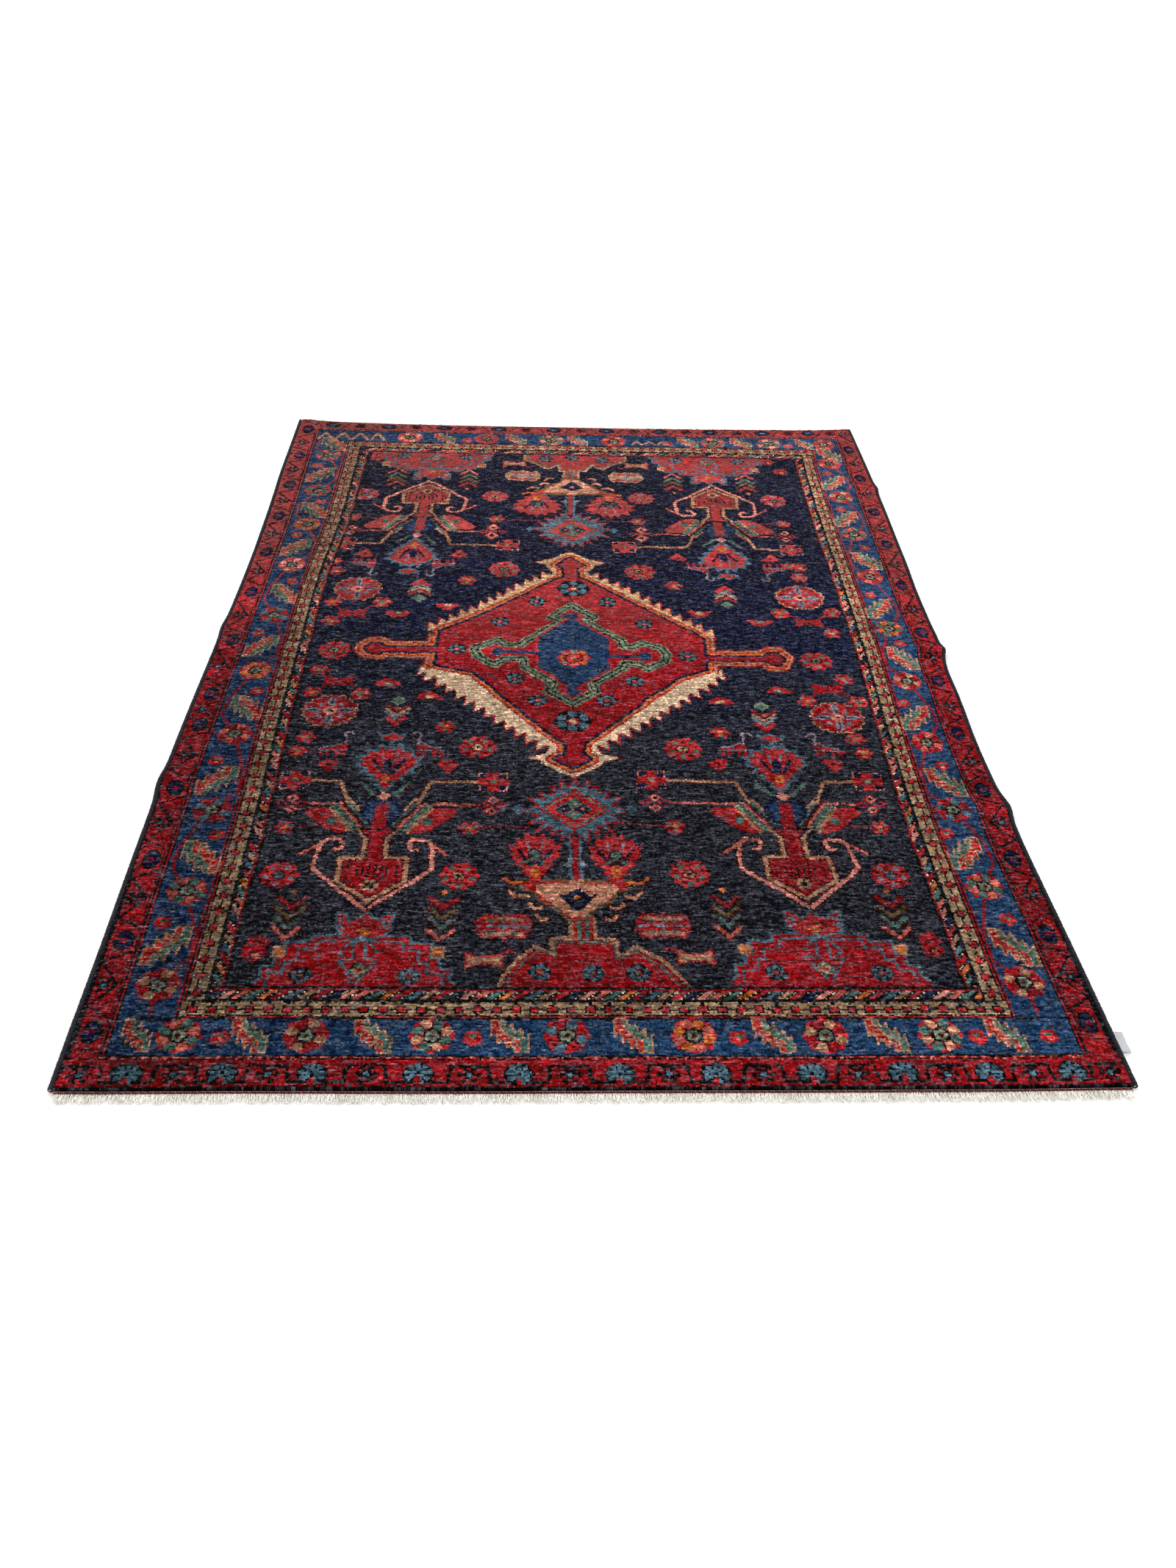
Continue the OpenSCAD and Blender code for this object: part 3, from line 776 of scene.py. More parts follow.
def cornerGroup(spec):
    p = place(spec["x"], spec["y"], spec["sx"], spec["sy"], lean=spec["lean"])
    cornerMound(p, spec["zone"])
    for x in spec["chevrons"]:
        chevrons(place(spec["x"] + x * spec["sx"], spec["y"] + 86 * spec["sy"], 1, spec["sy"]))
    anchorAndShield(p)
    leavesAndStems(p, spec["inner"])
    diamondCluster(p, -139, 386)
    diamondCluster(p, spec["inner"] + spec["clusterShift"], 386, big=spec["bigCluster"])
    fieldRosette(p, -133, 220, 29, "greyBlue", "lightBlue")
    fieldRosette(p, spec["inner"] - 42, 220, 30, "green", "tan")
    smallFloret(p, -142, 330, 16, "orange", "lightBlue")
    smallFloret(p, spec["inner"] - 32, 330, 17, "tan", "green")
    line(p, [(-123, 330), (-92, 330)], 2.6, "red")
    line(p, [(spec["inner"] - 14, 331), (spec["inner"] + 60, 333)], 2.6, "red")
    for q in mirrored(p):
        line(q, [(17, 408), (38, 436)], 7, "green")
        line(q, [(24, 412), (42, 432)], 2.6, "wine")
        heart(q, 95, 485)
    lozenge(p, 0, 405, 12, 12, "pink")
    carnation(p, 0, 482)
    tulip(p, 0, 560)
    for x, s in ((-92, 1), (62, -1)):
        across = spec["x"] + (x + spec["beasts"]) * spec["sx"]
        animal(place(across, spec["y"] + 537 * spec["sy"], spec["sx"] * s, spec["sy"]))
    smallFloret(p, -143, 560, 18, "salmon", "green")
    smallFloret(p, -152, 521, 16, "tan", "orange")
    line(p, [(-135, 521), (-112, 521)], 2.6, "red")
    for x, y in spec["buds"]:
        petals(here, x, y, 17, 5, "red", 0.25)
        disc(here, x + 2, y - 4, 8, "wine")
        disc(here, x + 3, y - 5, 5, "salmon")


cornerGroups = [
    {"zone": "mound_front_left", "x": -327, "y": -841, "sx": 1, "sy": 1, "lean": None,
     "chevrons": (-106, 109),
     "inner": 171, "clusterShift": 0, "bigCluster": False, "beasts": 0,
     "buds": [(-468, -760), (-470, -777)]},
    {"zone": "mound_front_right", "x": 308, "y": -832, "sx": -1, "sy": 1,
     "lean": [(0, 9), (150, 3), (300, -4), (600, -1)],
     "chevrons": (-120, 121), "inner": 208, "clusterShift": -4, "bigCluster": False, "beasts": 4,
     "buds": [(468, -748), (468, -765)]},
    {"zone": "mound_back_left", "x": -335, "y": 835, "sx": 1, "sy": -1,
     "lean": [(0, 4), (300, -3), (440, -10), (600, -14)],
     "chevrons": (-74, 86), "inner": 192, "clusterShift": -36, "bigCluster": True, "beasts": -10,
     "buds": [(-463, 820), (-463, 800)]},
    {"zone": "mound_back_right", "x": 297, "y": 835, "sx": -1, "sy": -1,
     "lean": [(0, 2), (300, -2), (440, -5), (600, -5)],
     "chevrons": (-80, 86), "inner": 204, "clusterShift": -38, "bigCluster": True, "beasts": 0,
     "buds": [(441, 815), (465, 765)]},
]
for spec in cornerGroups:
    cornerGroup(spec)

# what stands between the corner groups, beside the medallion
sideGroups = [
    {"sx": 1, "sy": 1, "large": (-440, -205), "column": (-326, -205), "crown": (-437, -115),
     "dome": (-350, -117),
     "bud": (-275, -156), "florets": [(-478, -150, 17), (-393, -155, 19), (-475, -80, 18), (-240, -250, 19)],
     "rosettes": [(-458, -15, 31), (-185, -305, 31)]},
    {"sx": -1, "sy": 1, "large": (430, -210), "column": (303, -210), "crown": (428, -125),
     "dome": (340, -128),
     "bud": (232, -162), "florets": [(385, -160, 18), (475, -162, 18), (463, -90, 18), (222, -257, 18)],
     "rosettes": [(422, -32, 31), (155, -305, 32)]},
    {"sx": 1, "sy": -1, "large": (-440, 205), "column": (-320, 203), "crown": (-440, 113),
     "dome": (-355, 112),
     "bud": (-262, 143), "florets": [(-480, 155, 17), (-388, 155, 20), (-478, 85, 18), (-230, 245, 19)],
     "rosettes": [(-158, 290, 32)]},
    {"sx": -1, "sy": -1, "large": (425, 195), "column": (278, 193), "crown": (428, 100), "dome": (335, 95),
     "bud": (222, 128), "florets": [(378, 135, 19), (480, 140, 19), (467, 65, 17), (180, 235, 18),
                                    (423, 320, 15)],
     "rosettes": [(115, 287, 32)]},
]
for spec in sideGroups:
    sx, sy = spec["sx"], spec["sy"]
    largeRosette(here, *spec["large"], 48)
    leafColumn(place(*spec["column"], sx, sy))
    crown(place(*spec["crown"], sx, sy))
    dome(place(*spec["dome"], sx, sy))
    dome(place(*spec["bud"], sx, sy), "straw")
    for k, (x, y, r) in enumerate(spec["florets"]):
        smallFloret(here, x, y, r, ("orange", "green", "tan")[k % 3], ("green", "tan", "lightBlue")[k % 3])
    for k, (x, y, r) in enumerate(spec["rosettes"]):
        fieldRosette(here, x, y, r, "green", ("sage", "straw")[k % 2])


# ---- middle line: vases, blooms, small diamonds and middle mounds ----


def vaseFoot(p):
    for k, wool in enumerate(("tan", "brightRed", "green", "red", "green", "brightRed", "tan")):
        block(p, -38 + k * 5.5, 88, -38 + (k + 1) * 5.5, 136, wool)


def vase(p):
    # a wide peach bowl with a saw-edged blue heart, 80 mm tall
    bowl = [(-108, 0), (50, 0), (50, -18), (30, -26), (26, -44), (2, -58), (-15, -84), (-38, -84),
            (-58, -58), (-82, -44),
            (-88, -26), (-108, -18)]
    area(p, bowl, "brightRed")
    line(p, bowl, 5, "olive", closed=True)
    area(p, [(-88, -8), (-40, -8), (-36, 4), (-18, 4), (-14, -8), (34, -8), (34, -22), (-13, -76),
             (-37, -76), (-86, -24)],
         "peach")
    area(p, [(-58, -24), (-47, -33), (-38, -26), (-26, -15), (-13, -26), (-6, -33), (6, -24), (-18, -60),
             (-25, -64),
             (-33, -60)], "navy")
    disc(p, -26, -36, 5, "orange")
    for s in (-1, 1):
        for x, y, w in ((80, -4, 26), (72, -32, 24), (50, -56, 18), (42, -80, 16)):
            cx = -28 + s * x
            curl = [(cx, y), (cx + s * w * 0.6, y - 3), (cx + s * w, y + 7)]
            edgedLine(p, curl, 10, 6, "peach" if y < -20 else "orange")


def spikyDiamond(p, zone):
    tips = [(0, 76), (-23, 76), (24, 76), (39, 60), (57, 45), (77, 31), (88, -5), (75, -32), (57, -52),
            (39, -60),
            (22, -77), (-23, -77), (-35, -62), (-58, -52), (-71, -34), (-86, -6), (-72, 28), (-56, 42),
            (-37, 58)]
    hull = sorted(tips, key=lambda q: math.atan2(q[1], q[0]))
    star = []
    for a, b in zip(hull, hull[1:] + hull[:1]):
        star += [a, ((a[0] + b[0]) * 0.355, (a[1] + b[1]) * 0.355)]
    area(p, star, "lightBlue", zone)
    line(p, star, 3, "red", closed=True)
    area(p, [(x * 0.94, y * 0.94) for x, y in star], "lightBlue", zone)
    for r, wool in ((1.0, "red"), (0.9, "green"), (0.82, "brightRed"), (0.56, "wine"), (0.52, "green"),
                    (0.46, "red")):
        lozenge(p, 0, 0, 56 * r, 54 * r, wool, zone)
    for s in (1, -1):
        area(p, [(0, s * 25), (12, s * 12), (0, 0), (-12, s * 12)], "green")
    for s in (-1, 1):
        area(p, [(s * 27, 0), (s * 14, 12), (s * 2, 0), (s * 14, -12)], "navy")
        disc(p, s * 14, 0, 3, "orange")
        disc(p, 0, s * 13, 3, "tan")
        area(p, [(s * 87, -16), (s * 98, 0), (s * 87, 14), (s * 80, 0)], "lightBlue")


def stemAndBlooms(p, left, right, wide):
    for q in mirrored(p):
        line(q, [(8, 0), (8, 95)], 4.5, "lightBlue")
        area(q, [(8, 22), (22, 28), (12, 40), (8, 66)], "greyBlue")
    block(p, -5, -4, 5, 92, "red")
    for x in (left, right):
        carnation(p, x, 45, wide, None)
        disc(p, x, 48, 12, "wine", 14)
        disc(p, x, 52, 7, "green", 8)
        line(p, [(x - 20, 30), (x, 42), (x + 20, 30)], 4, "green")
        disc(p, x, 22, 8, "orange")
        disc(p, x, 22, 3, "brightRed")


middle = [
    {"zones": ("mound_front_middle", "diamond_front"), "base": -838, "sy": 1, "diamond": (-27, -464),
     "vase": (0, -628),
     "right": [(27, 90), (27, 60), (40, 62), (55, 76), (88, 52), (115, 12), (122, 0)],
     "left": [(-62, 90), (-62, 60), (-85, 76), (-110, 52), (-130, 18), (-132, 0)],
     "stem": (-27, -622), "blooms": (-61, 60, 0.78), "florets": [(-78, -812), (-8, -812), (55, -812)],
     "cartouches": [(-131, -725), (95, -720)], "ties": [(-155, -790, 1), (135, -783, -1)]},
    {"zones": ("mound_back_middle", "diamond_back"), "base": 836, "sy": -1, "diamond": (-20, 463),
     "vase": (8, 630),
     "right": [(15, 88), (30, 56), (55, 76), (82, 48), (108, 30), (110, 0)],
     "left": [(-45, 88), (-48, 56), (-72, 78), (-100, 48), (-123, 30), (-124, 0)],
     "stem": (-22, 624), "blooms": (-72, 86, 1.08), "florets": [(-75, 812), (-15, 820), (55, 812)],
     "cartouches": [(-127, 720), (105, 720)], "ties": [(-148, 783, 1), (132, 783, -1)]},
]
for spec in middle:
    sy = spec["sy"]
    p = place(0, spec["base"], 1, sy)
    area(p, [(-36, 86), (-36, 136), (-2, 136), (-2, 86)], "red")
    moundEdge = list(reversed(spec["left"])) + spec["right"]
    area(p, moundEdge + [(spec["right"][-1][0], -12), (spec["left"][-1][0], -12)], "red", spec["zones"][0])
    edgedLine(p, moundEdge, 8.5, 6, "tan")
    line(p, [(x * 0.93, y - 7) for x, y in moundEdge], 3, "green")
    vaseFoot(p)
    vase(place(*spec["vase"], 1, sy))
    stemAndBlooms(place(*spec["stem"], 1, sy), *spec["blooms"])
    spikyDiamond(place(*spec["diamond"], 1, sy), spec["zones"][1])
    for x, y in spec["florets"]:
        darkFloret(here, x, y, 17, heart="green")
    for x, y in spec["cartouches"]:
        q = place(x, y)
        edge = [(-39, -8), (-39, 12), (-28, 26), (-6, 22), (0, 28), (6, 22), (28, 26), (39, 12), (39, -8),
                (30, -24),
                (6, -22), (0, -30), (-6, -22), (-30, -24)]
        ground, bar = ("tan", "brightRed") if sy < 0 else ("brightRed", "tan")
        area(q, edge, ground)
        line(q, [(-24, 14), (24, 14)], 7, bar)
        line(q, [(-26, -15), (26, -15)], 8, bar)
        line(q, [(-36, 0), (36, 0)], 3, "greyBlue")
        line(q, [(0, -22), (0, 24)], 3, "greyBlue")
        for a in (-16, 16):
            for b in (-11, 9):
                disc(q, a, b, 3.4, "lightBlue")
    for x, y, s in spec["ties"]:
        q = place(x, y, s, sy)
        tie = [(-25, 16), (-14, 7), (10, 7), (24, 15), (24, -15), (10, -7), (-14, -7), (-25, -16)]
        area(q, tie, "tan")
        line(q, tie, 3, "brightRed", closed=True)
        line(q, [(24, 12), (34, 20), (42, 12)], 3, "brightRed")
print("field woven")

# ---- medallion ----

medallion = {
    # the red ground with its necks and bars, clockwise from the back head's tip
    "outline": [(-28, 340), (2, 312), (-12, 300), (-12, 262), (0, 256), (75, 180), (150, 110), (218, 40),
                (218, -21),
                (330, -21), (338, -10), (350, -8), (362, -27), (350, -46), (338, -44), (330, -33),
                (218, -33),
                (218, -66), (165, -90), (110, -150), (60, -210), (-2, -282), (-12, -288), (-12, -325),
                (0, -335),
                (-28, -358), (-58, -335), (-40, -325), (-40, -290), (-48, -284), (-78, -248), (-150, -150),
                (-200, -82), (-270, -60), (-270, -17), (-370, -17), (-377, -26), (-392, -22), (-402, -6),
                (-392, 10),
                (-377, 10), (-370, -3), (-270, -3), (-270, 54), (-200, 110), (-48, 256), (-37, 262),
                (-37, 300),
                (-50, 312)],
    "layers": (("brightRed", 15), ("orange", 11), ("navy", 5.8)),
    # each serrated side: node, its line along the outline, the line its teeth stand on, how far a
    # tooth reaches out, how many teeth, wool
    "sides": [
        ("medallion_edge_back_right", [(-4, 254), (60, 200), (110, 148), (160, 94), (220, 36)],
         [(14, 270), (75, 217), (126, 165), (176, 111), (243, 42)], (6, 18), 12, "straw"),
        ("medallion_edge_back_left", [(-48, 254), (-120, 190), (-200, 108), (-272, 52)],
         [(-66, 272), (-135, 210), (-212, 130), (-296, 60)], (-5, 18), 13, "straw"),
        ("medallion_edge_front_right", [(214, -62), (165, -88), (110, -148), (60, -208), (-6, -284)],
         [(247, -70), (226, -98), (190, -134), (150, -169), (118, -203), (85, -233), (50, -264), (14, -298)],
         (8, -18), 13, "wedge"),
        ("medallion_edge_front_left", [(-268, -58), (-200, -80), (-150, -148), (-78, -246), (-46, -286)],
         [(-295, -62), (-290, -84), (-262, -108), (-217, -151), (-172, -199), (-128, -245), (-92, -278),
          (-68, -300)],
         (-8, -18), 13, "wedge"),
    ],
    "cross": [(-25, 155), (18, 112), (0, 95), (65, 30), (70, 8), (85, 5), (105, 22), (140, 5), (148, -15),
              (145, -40),
              (110, -65), (95, -50), (72, -48), (65, -65), (10, -115), (15, -140), (-25, -175), (-68, -140),
              (-60, -115), (-110, -65), (-118, -38), (-150, -40), (-165, -58), (-195, -35), (-205, -12),
              (-200, 0),
              (-160, 28), (-150, 10), (-118, 10), (-110, 25), (-55, 85), (-45, 98), (-65, 110)],
    "centre": [(-88, 35), (-38, 95), (-25, 100), (-12, 95), (42, 35), (42, -65), (-12, -118), (-25, -124),
               (-38, -118),
               (-88, -62)],
    "florets": [(-90, 168), (45, 168), (-160, 93), (112, 88), (-235, -8), (186, -22), (-128, -102),
                (85, -105),
                (-87, -168), (33, -165)],
}


def alongLine(points, share):
    # the place that far along a line, and the way the line runs there
    steps = [math.dist(a, b) for a, b in zip(points, points[1:])]
    left = share * sum(steps)
    for (a, b), step in zip(zip(points, points[1:]), steps):
        if left <= step or b == points[-1]:
            dx, dy = b[0] - a[0], b[1] - a[1]
            return a[0] + dx * left / step, a[1] + dy * left / step, dx / step, dy / step
        left -= step


def serratedSide(zone, inner, roots, reach, count, fill):
    # a pale band beside the outline, with saw teeth on its outer side
    pitch = sum(math.dist(a, b) for a, b in zip(roots, roots[1:])) / count
    for swell, wool in ((1.3, "brightRed"), (1.0, fill)):
        for k in range(count):
            x, y, tx, ty = alongLine(roots, (k + 0.5) / count)
            w = pitch * 0.47 * swell
            backX, backY = reach[0] * 0.3, reach[1] * 0.3
            tip = (x + reach[0] * swell, y + reach[1] * swell)
            tooth = [(x - tx * w - backX, y - ty * w - backY), tip, (x + tx * w - backX, y + ty * w - backY)]
            area(here, tooth, wool, zone)
    area(here, inner + list(reversed(roots)), fill, zone)


def weaveMedallion():
    outline = medallion["outline"]
    for side in medallion["sides"]:
        serratedSide(*side)
    # wings of the two heads
    for s, y0, tips in ((1, 322, (-99, 52)), (-1, -332, (-104, 54))):
        apex = 370 if s > 0 else -390
        name = "palmette_back" if s > 0 else "palmette_front"
        head = [(tips[0], y0), (-62, y0 + s * 17), (-26, apex), (10, y0 + s * 17), (tips[1], y0),
                (18, y0 - s * 14),
                (14, y0 - s * 38), (-66, y0 - s * 38), (-70, y0 - s * 14)]
        area(here, head, "red", name)
        area(here, [(-25 + (x + 25) * 0.94, y0 + (y - y0) * 0.91) for x, y in head],
             "straw" if s > 0 else "wedge", name)
    bars = {"pendant_left": (-295, -424, -12), "pendant_right": (242, 384, -27)}
    part, x, y = under(here, -430, -400, 395, 380)
    far = distanceTo(x, y, outline + outline[:1])
    onBar = ((x < -276) | (x > 224)) & (np.abs(y + 18) < 60)
    knot(part, (far <= 22.5) & onBar, "red")
    knot(part, (far <= 19.5) & onBar, "tan")
    onNeck = (np.abs(x + 26) < 60) & (np.abs(y) > 258)
    knot(part, (far <= 23) & onNeck, "straw")
    knot(part, (far <= 23) & onNeck & (y < 0), "wedge")
    for wool, reach in medallion["layers"]:
        knot(part, far <= reach, wool)
    area(here, outline, "red")
    inside = insideOf(x, y, outline)
    ground = inside | (far <= 14)
    knot(part, ground & (y < midY), None, "medallion_ground_front")
    knot(part, ground & (y >= midY), None, "medallion_ground_back")
    for name, (x0, x1, yb) in bars.items():
        reach = (np.abs(y - yb) < 60) & (x > min(x0, x1)) & (x < max(x0, x1))
        knot(part, reach & (inside | (far <= 22.5)), None, name)
    knot(part, (inside | (far <= 20)) & (y > 300), None, "palmette_back")
    knot(part, (inside | (far <= 20)) & (y < -325), None, "palmette_front")


def weaveCentre():
    cross, centre = medallion["cross"], medallion["centre"]
    line(here, cross, 20, "sage", closed=True)
    line(here, cross, 12.5, "ink", closed=True)
    line(here, cross, 6.5, "sage", closed=True)
    bars = [((-25, 90), (-25, 113), 7, 15, 10), ((-25, -118), (-25, -141), 7, 13, 11),
            ((-88, -17), (-162, -15), 5, 12, 14), ((42, -25), (108, -25), 5, 12, 15)]
    for grow, wool in ((4, "brightRed"), (0, "centreBlue")):
        zone = None if grow else "medallion_centre"
        for start, end, w, rx, ry in bars:
            line(here, [start, end], 2 * (w + grow), wool, zone=zone)
            disc(here, *end, rx + grow, wool, ry + grow, zone=zone)
        if grow:
            line(here, centre, 2 * grow + 2, wool, closed=True)
    area(here, centre, "centreBlue", "medallion_centre")
    for k, (a, b) in enumerate(around(-22, -32, 20, 8)):
        disc(here, a, b, 10, "brightRed")
        disc(here, a, b, 7, ("salmon", "orange", "sage")[k % 3])
    disc(here, -22, -32, 17, "wine")
    petals(here, -22, -32, 15, 6, "brightRed")
    disc(here, -22, -32, 5, "straw")


weaveMedallion()
weaveCentre()
for x, y in ((-20, 218), (-28, -228)):
    darkFloret(here, x, y, 33, heart="straw")
for x, y in medallion["florets"]:
    darkFloret(here, x, y, 18, heart="salmon")
line(here, [(-25, 185), (-25, 160)], 3, "wine")
line(here, [(-26, -178), (-26, -198)], 3, "wine")
print("medallion woven")

# the borders come last, so that nothing of the field runs over them
for side in ("front", "back", "left", "right"):
    alongEnd = side in ("front", "back")
    (weaveOuterEnd if alongEnd else weaveOuterSide)("outer_border_" + side)
    (weaveMainEnd if alongEnd else weaveMainSide)("main_border_" + side)
for side in ("front", "back", "left", "right"):
    weaveDottedLine("dotted_line_" + side)
    weaveGoldGuard("gold_guard_" + side)
    weaveSlashGuard("slash_guard_" + side)
print("borders woven")


# ---- wools: colours of the single knots, with painted light, shade, sheen and highlights ----


def linear(hexColour):
    channels = [int(hexColour[k:k + 2], 16) / 255 for k in (1, 3, 5)]
    return [c / 12.92 if c <= 0.04045 else ((c + 0.055) / 1.055) ** 2.4 for c in channels]


toneAndGlints = {
    "fieldFront": "#26262f", "fieldMiddle": "#11182e", "fieldBack": "#111627", "rampFrom": -330,
    "rampOver": 1250,
    "rampMiddle": 0.35, "knotSpread": 0.34, "rowSpread": 0.1, "streak": 0.34, "clump": 0.2, "abrash": 0.09,
    "redAbrash": 1.7, "darkest": -1.2, "lightest": 1.0, "strength": 0.8, "seed": 11,
    # painted highlights: fibre ends that catch the light, added to the knots' colour; and a little lint
    "sparkle": 0.02, "sparkleSharp": 0.62, "sparkleLevel": 1.04, "sparkleTint": (0.95, 0.95, 1.1),
    "lintShare": 0.02, "lintLight": 0.02,
}
# painted light and shade: broad lighter and darker areas painted into the knots' colour by place, where the
# pile's
# sheen and the fall of light would show: where each starts, over how many mm it grows, and how much lighter
# or darker it makes the knots
paintedLight = {
    "right": (0, pileX, 0.14), "left": (220, 360, -0.34), "rightEdge": (400, 100, 0.14),
    "leftEdge": (605, 20, 0.5),
    "middle": (170, 160, 0.13), "frontEdge": (830, 120, 0.42), "front": 0.3, "back": 0.12,
    "backSheenFrom": -60, "backSheenOver": 500, "backSheen": 0.17, "backSheenOnOthers": 0.05,
    "backSheenColour": (0.34, 0.15, 0.12),
}
rng = np.random.default_rng(toneAndGlints["seed"])
woolLinear = np.array([linear(woolHex[name]) for name in woolNames])
knotColour = woolLinear[loomWool]
fieldKnots = loomWool == woolOf["fieldNavy"]
depth = gridV - toneAndGlints["rampFrom"] + 60 * softNoise((rows, cols), (24, 90), 31)
depth = np.clip(depth / toneAndGlints["rampOver"], 0, 1)[..., None]
fieldRamp = [np.array(linear(toneAndGlints[k])) for k in ("fieldFront", "fieldMiddle", "fieldBack")]
half = toneAndGlints["rampMiddle"]
ramp = np.where(depth < half, fieldRamp[0] + (fieldRamp[1] - fieldRamp[0]) * depth / half,
                fieldRamp[1] + (fieldRamp[2] - fieldRamp[1]) * (depth - half) / (1 - half))
knotColour = np.where(fieldKnots[..., None], ramp, knotColour)
abrash = softNoise((rows, cols), (16, 200), 32) + 0.6 * softNoise((rows, cols), (40, 60), 33)
redKnots = np.isin(loomWool, [woolOf[k] for k in ("red", "borderRed", "brightRed")])
tone = toneAndGlints["abrash"] * abrash * np.where(redKnots, toneAndGlints["redAbrash"], 1.0)
for key, cell, seed in (("streak", (1, 4), 34), ("clump", (2, 3), 37), ("rowSpread", (1, 60), 36)):
    tone += toneAndGlints[key] * softNoise((rows, cols), cell, seed)
tone += toneAndGlints["knotSpread"] * np.clip(rng.normal(0, 1, (rows, cols)), -2, 2.2)
toneAndPaintedLight = np.exp(np.clip(tone, toneAndGlints["darkest"], toneAndGlints["lightest"]) - 0.1)


def paintedLightShare(name, along):
    start, over, gain = paintedLight[name]
    return gain * np.clip((along - start) / over, 0, 1)


# painted light and shade: lighter to the right, darker towards the left, lighter again along both outer edges
toneAndPaintedLight *= 1 + paintedLightShare("right", gridU) + paintedLightShare("left", -gridU)
toneAndPaintedLight *= 1 + paintedLightShare("rightEdge", gridU) + paintedLightShare("leftEdge", -gridU)
# painted sheen: a lighter band across the medallion's back half
middleAt, middleOver, middleGain = paintedLight["middle"]
toneAndPaintedLight *= 1 + middleGain * np.exp(-((gridV - middleAt) / middleOver) ** 2)
# painted light and shade: the front edge lighter, the front half darker towards the front, the back half
# lighter towards the back
toneAndPaintedLight *= 1 + paintedLightShare("frontEdge", -gridV)
toneAndPaintedLight *= 1 + np.where(gridV < 0, paintedLight["front"], paintedLight["back"]) * gridV / pileY
knotColour = knotColour * (toneAndGlints["strength"] * toneAndPaintedLight)[..., None]
# painted highlights: bright bluish glints added to each knot's colour
sparkle = softNoise((rows, cols), (1, 3), 38) + 0.7 * rng.normal(0, 1, (rows, cols))
sparkle = np.exp(toneAndGlints["sparkleSharp"] * np.clip(sparkle, -3, 2.6)) - toneAndGlints["sparkleLevel"]
glints = toneAndGlints["sparkle"] * sparkle[..., None] * np.array(toneAndGlints["sparkleTint"])
knotColour = np.maximum(knotColour + glints, 0.002)
# painted sheen: towards the back the knots, red ones most, are blended towards a dusty pink
backSheen = paintedLight["backSheen"] * np.clip((gridV - paintedLight["backSheenFrom"]) / paintedLight["backSheenOver"], 0, 1)
backSheen = (backSheen * np.where(redKnots, 1.0, paintedLight["backSheenOnOthers"]))[..., None]
knotColour = knotColour * (1 - backSheen) + np.array(paintedLight["backSheenColour"]) * backSheen
lint = (rng.random((rows, cols)) < toneAndGlints["lintShare"])[..., None] * toneAndGlints["lintLight"]
knotColour = np.clip(knotColour + lint, 0, 1)


# ---- nodes and materials ----


def addNode(tree, kind, at=(0, 0), links=None, **settings):
    node = tree.nodes.new(kind)
    node.location = at
    for key, value in settings.items():
        if key.startswith("in_"):
            name = key[3:]
            node.inputs[int(name) if name.isdigit() else name.replace("_", " ")].default_value = value
        else:
            setattr(node, key, value)
    for socket, source in (links or {}).items():
        link(tree, source, node.inputs[socket])
    return node


def link(tree, source, socket):
    # from a socket, or from a node's first output
    tree.links.new(source if isinstance(source, bpy.types.NodeSocket) else source.outputs[0], socket)


def newMaterial(name):
    material = bpy.data.materials.new(name)
    material.use_nodes = True
    tree = material.node_tree
    shader = tree.nodes["Principled BSDF"]
    coordinates = addNode(tree, "ShaderNodeTexCoord", (-1200, 0))
    return material, tree, shader, coordinates.outputs["Object"]


def setShader(shader, **values):
    for key, value in values.items():
        shader.inputs[key.replace("_", " ")].default_value = value


def colourSocket(hexColour):
    return (*linear(hexColour), 1)


def makeCutWool():
    # cut pile of hand-spun wool: matt, with fibre ends that break up the light
    material, tree, shader, at = newMaterial("handSpunWoolCutPile")
    dye = addNode(tree, "ShaderNodeAttribute", (-1000, 250), attribute_name="wool")
    fibre = addNode(tree, "ShaderNodeTexNoise", (-1000, 0), {"Vector": at}, in_Scale=620.0, in_Detail=3.0,
                    in_Roughness=0.65)
    tuft = addNode(tree, "ShaderNodeTexNoise", (-1000, -250), {"Vector": at}, in_Scale=190.0, in_Detail=2.0)
    wear = addNode(tree, "ShaderNodeTexNoise", (-1000, -480), {"Vector": at}, in_Scale=14.0, in_Detail=3.0)
    fibreTone = addNode(tree, "ShaderNodeMapRange", (-780, 0), {"Value": fibre},
                        in_1=0.3, in_2=0.7, in_3=0.62, in_4=1.38)
    tuftTone = addNode(tree, "ShaderNodeMapRange", (-780, -250), {"Value": tuft},
                       in_1=0.3, in_2=0.7, in_3=0.72, in_4=1.26)
    wearTone = addNode(tree, "ShaderNodeMapRange", (-780, -480), {"Value": wear},
                       in_1=0.3, in_2=0.7, in_3=0.9, in_4=1.12)
    tones = addNode(tree, "ShaderNodeMath", (-600, -100), {0: fibreTone, 1: tuftTone}, operation="MULTIPLY")
    tones = addNode(tree, "ShaderNodeMath", (-440, -100), {0: tones, 1: wearTone}, operation="MULTIPLY")
    colour = addNode(tree, "ShaderNodeVectorMath", (-260, 150), {0: dye.outputs["Color"]}, operation="SCALE")
    link(tree, tones, colour.inputs["Scale"])
    link(tree, colour, shader.inputs["Base Color"])
    height = addNode(tree, "ShaderNodeMath", (-440, -350), {0: fibre, 1: tuft}, operation="ADD")
    bump = addNode(tree, "ShaderNodeBump", (-220, -350), {"Height": height}, in_Strength=0.75,
                   in_Distance=0.0016)
    link(tree, bump, shader.inputs["Normal"])
    setShader(shader, Roughness=0.95, Specular_IOR_Level=0.02, Sheen_Weight=0.0, Sheen_Roughness=0.5)
    return material


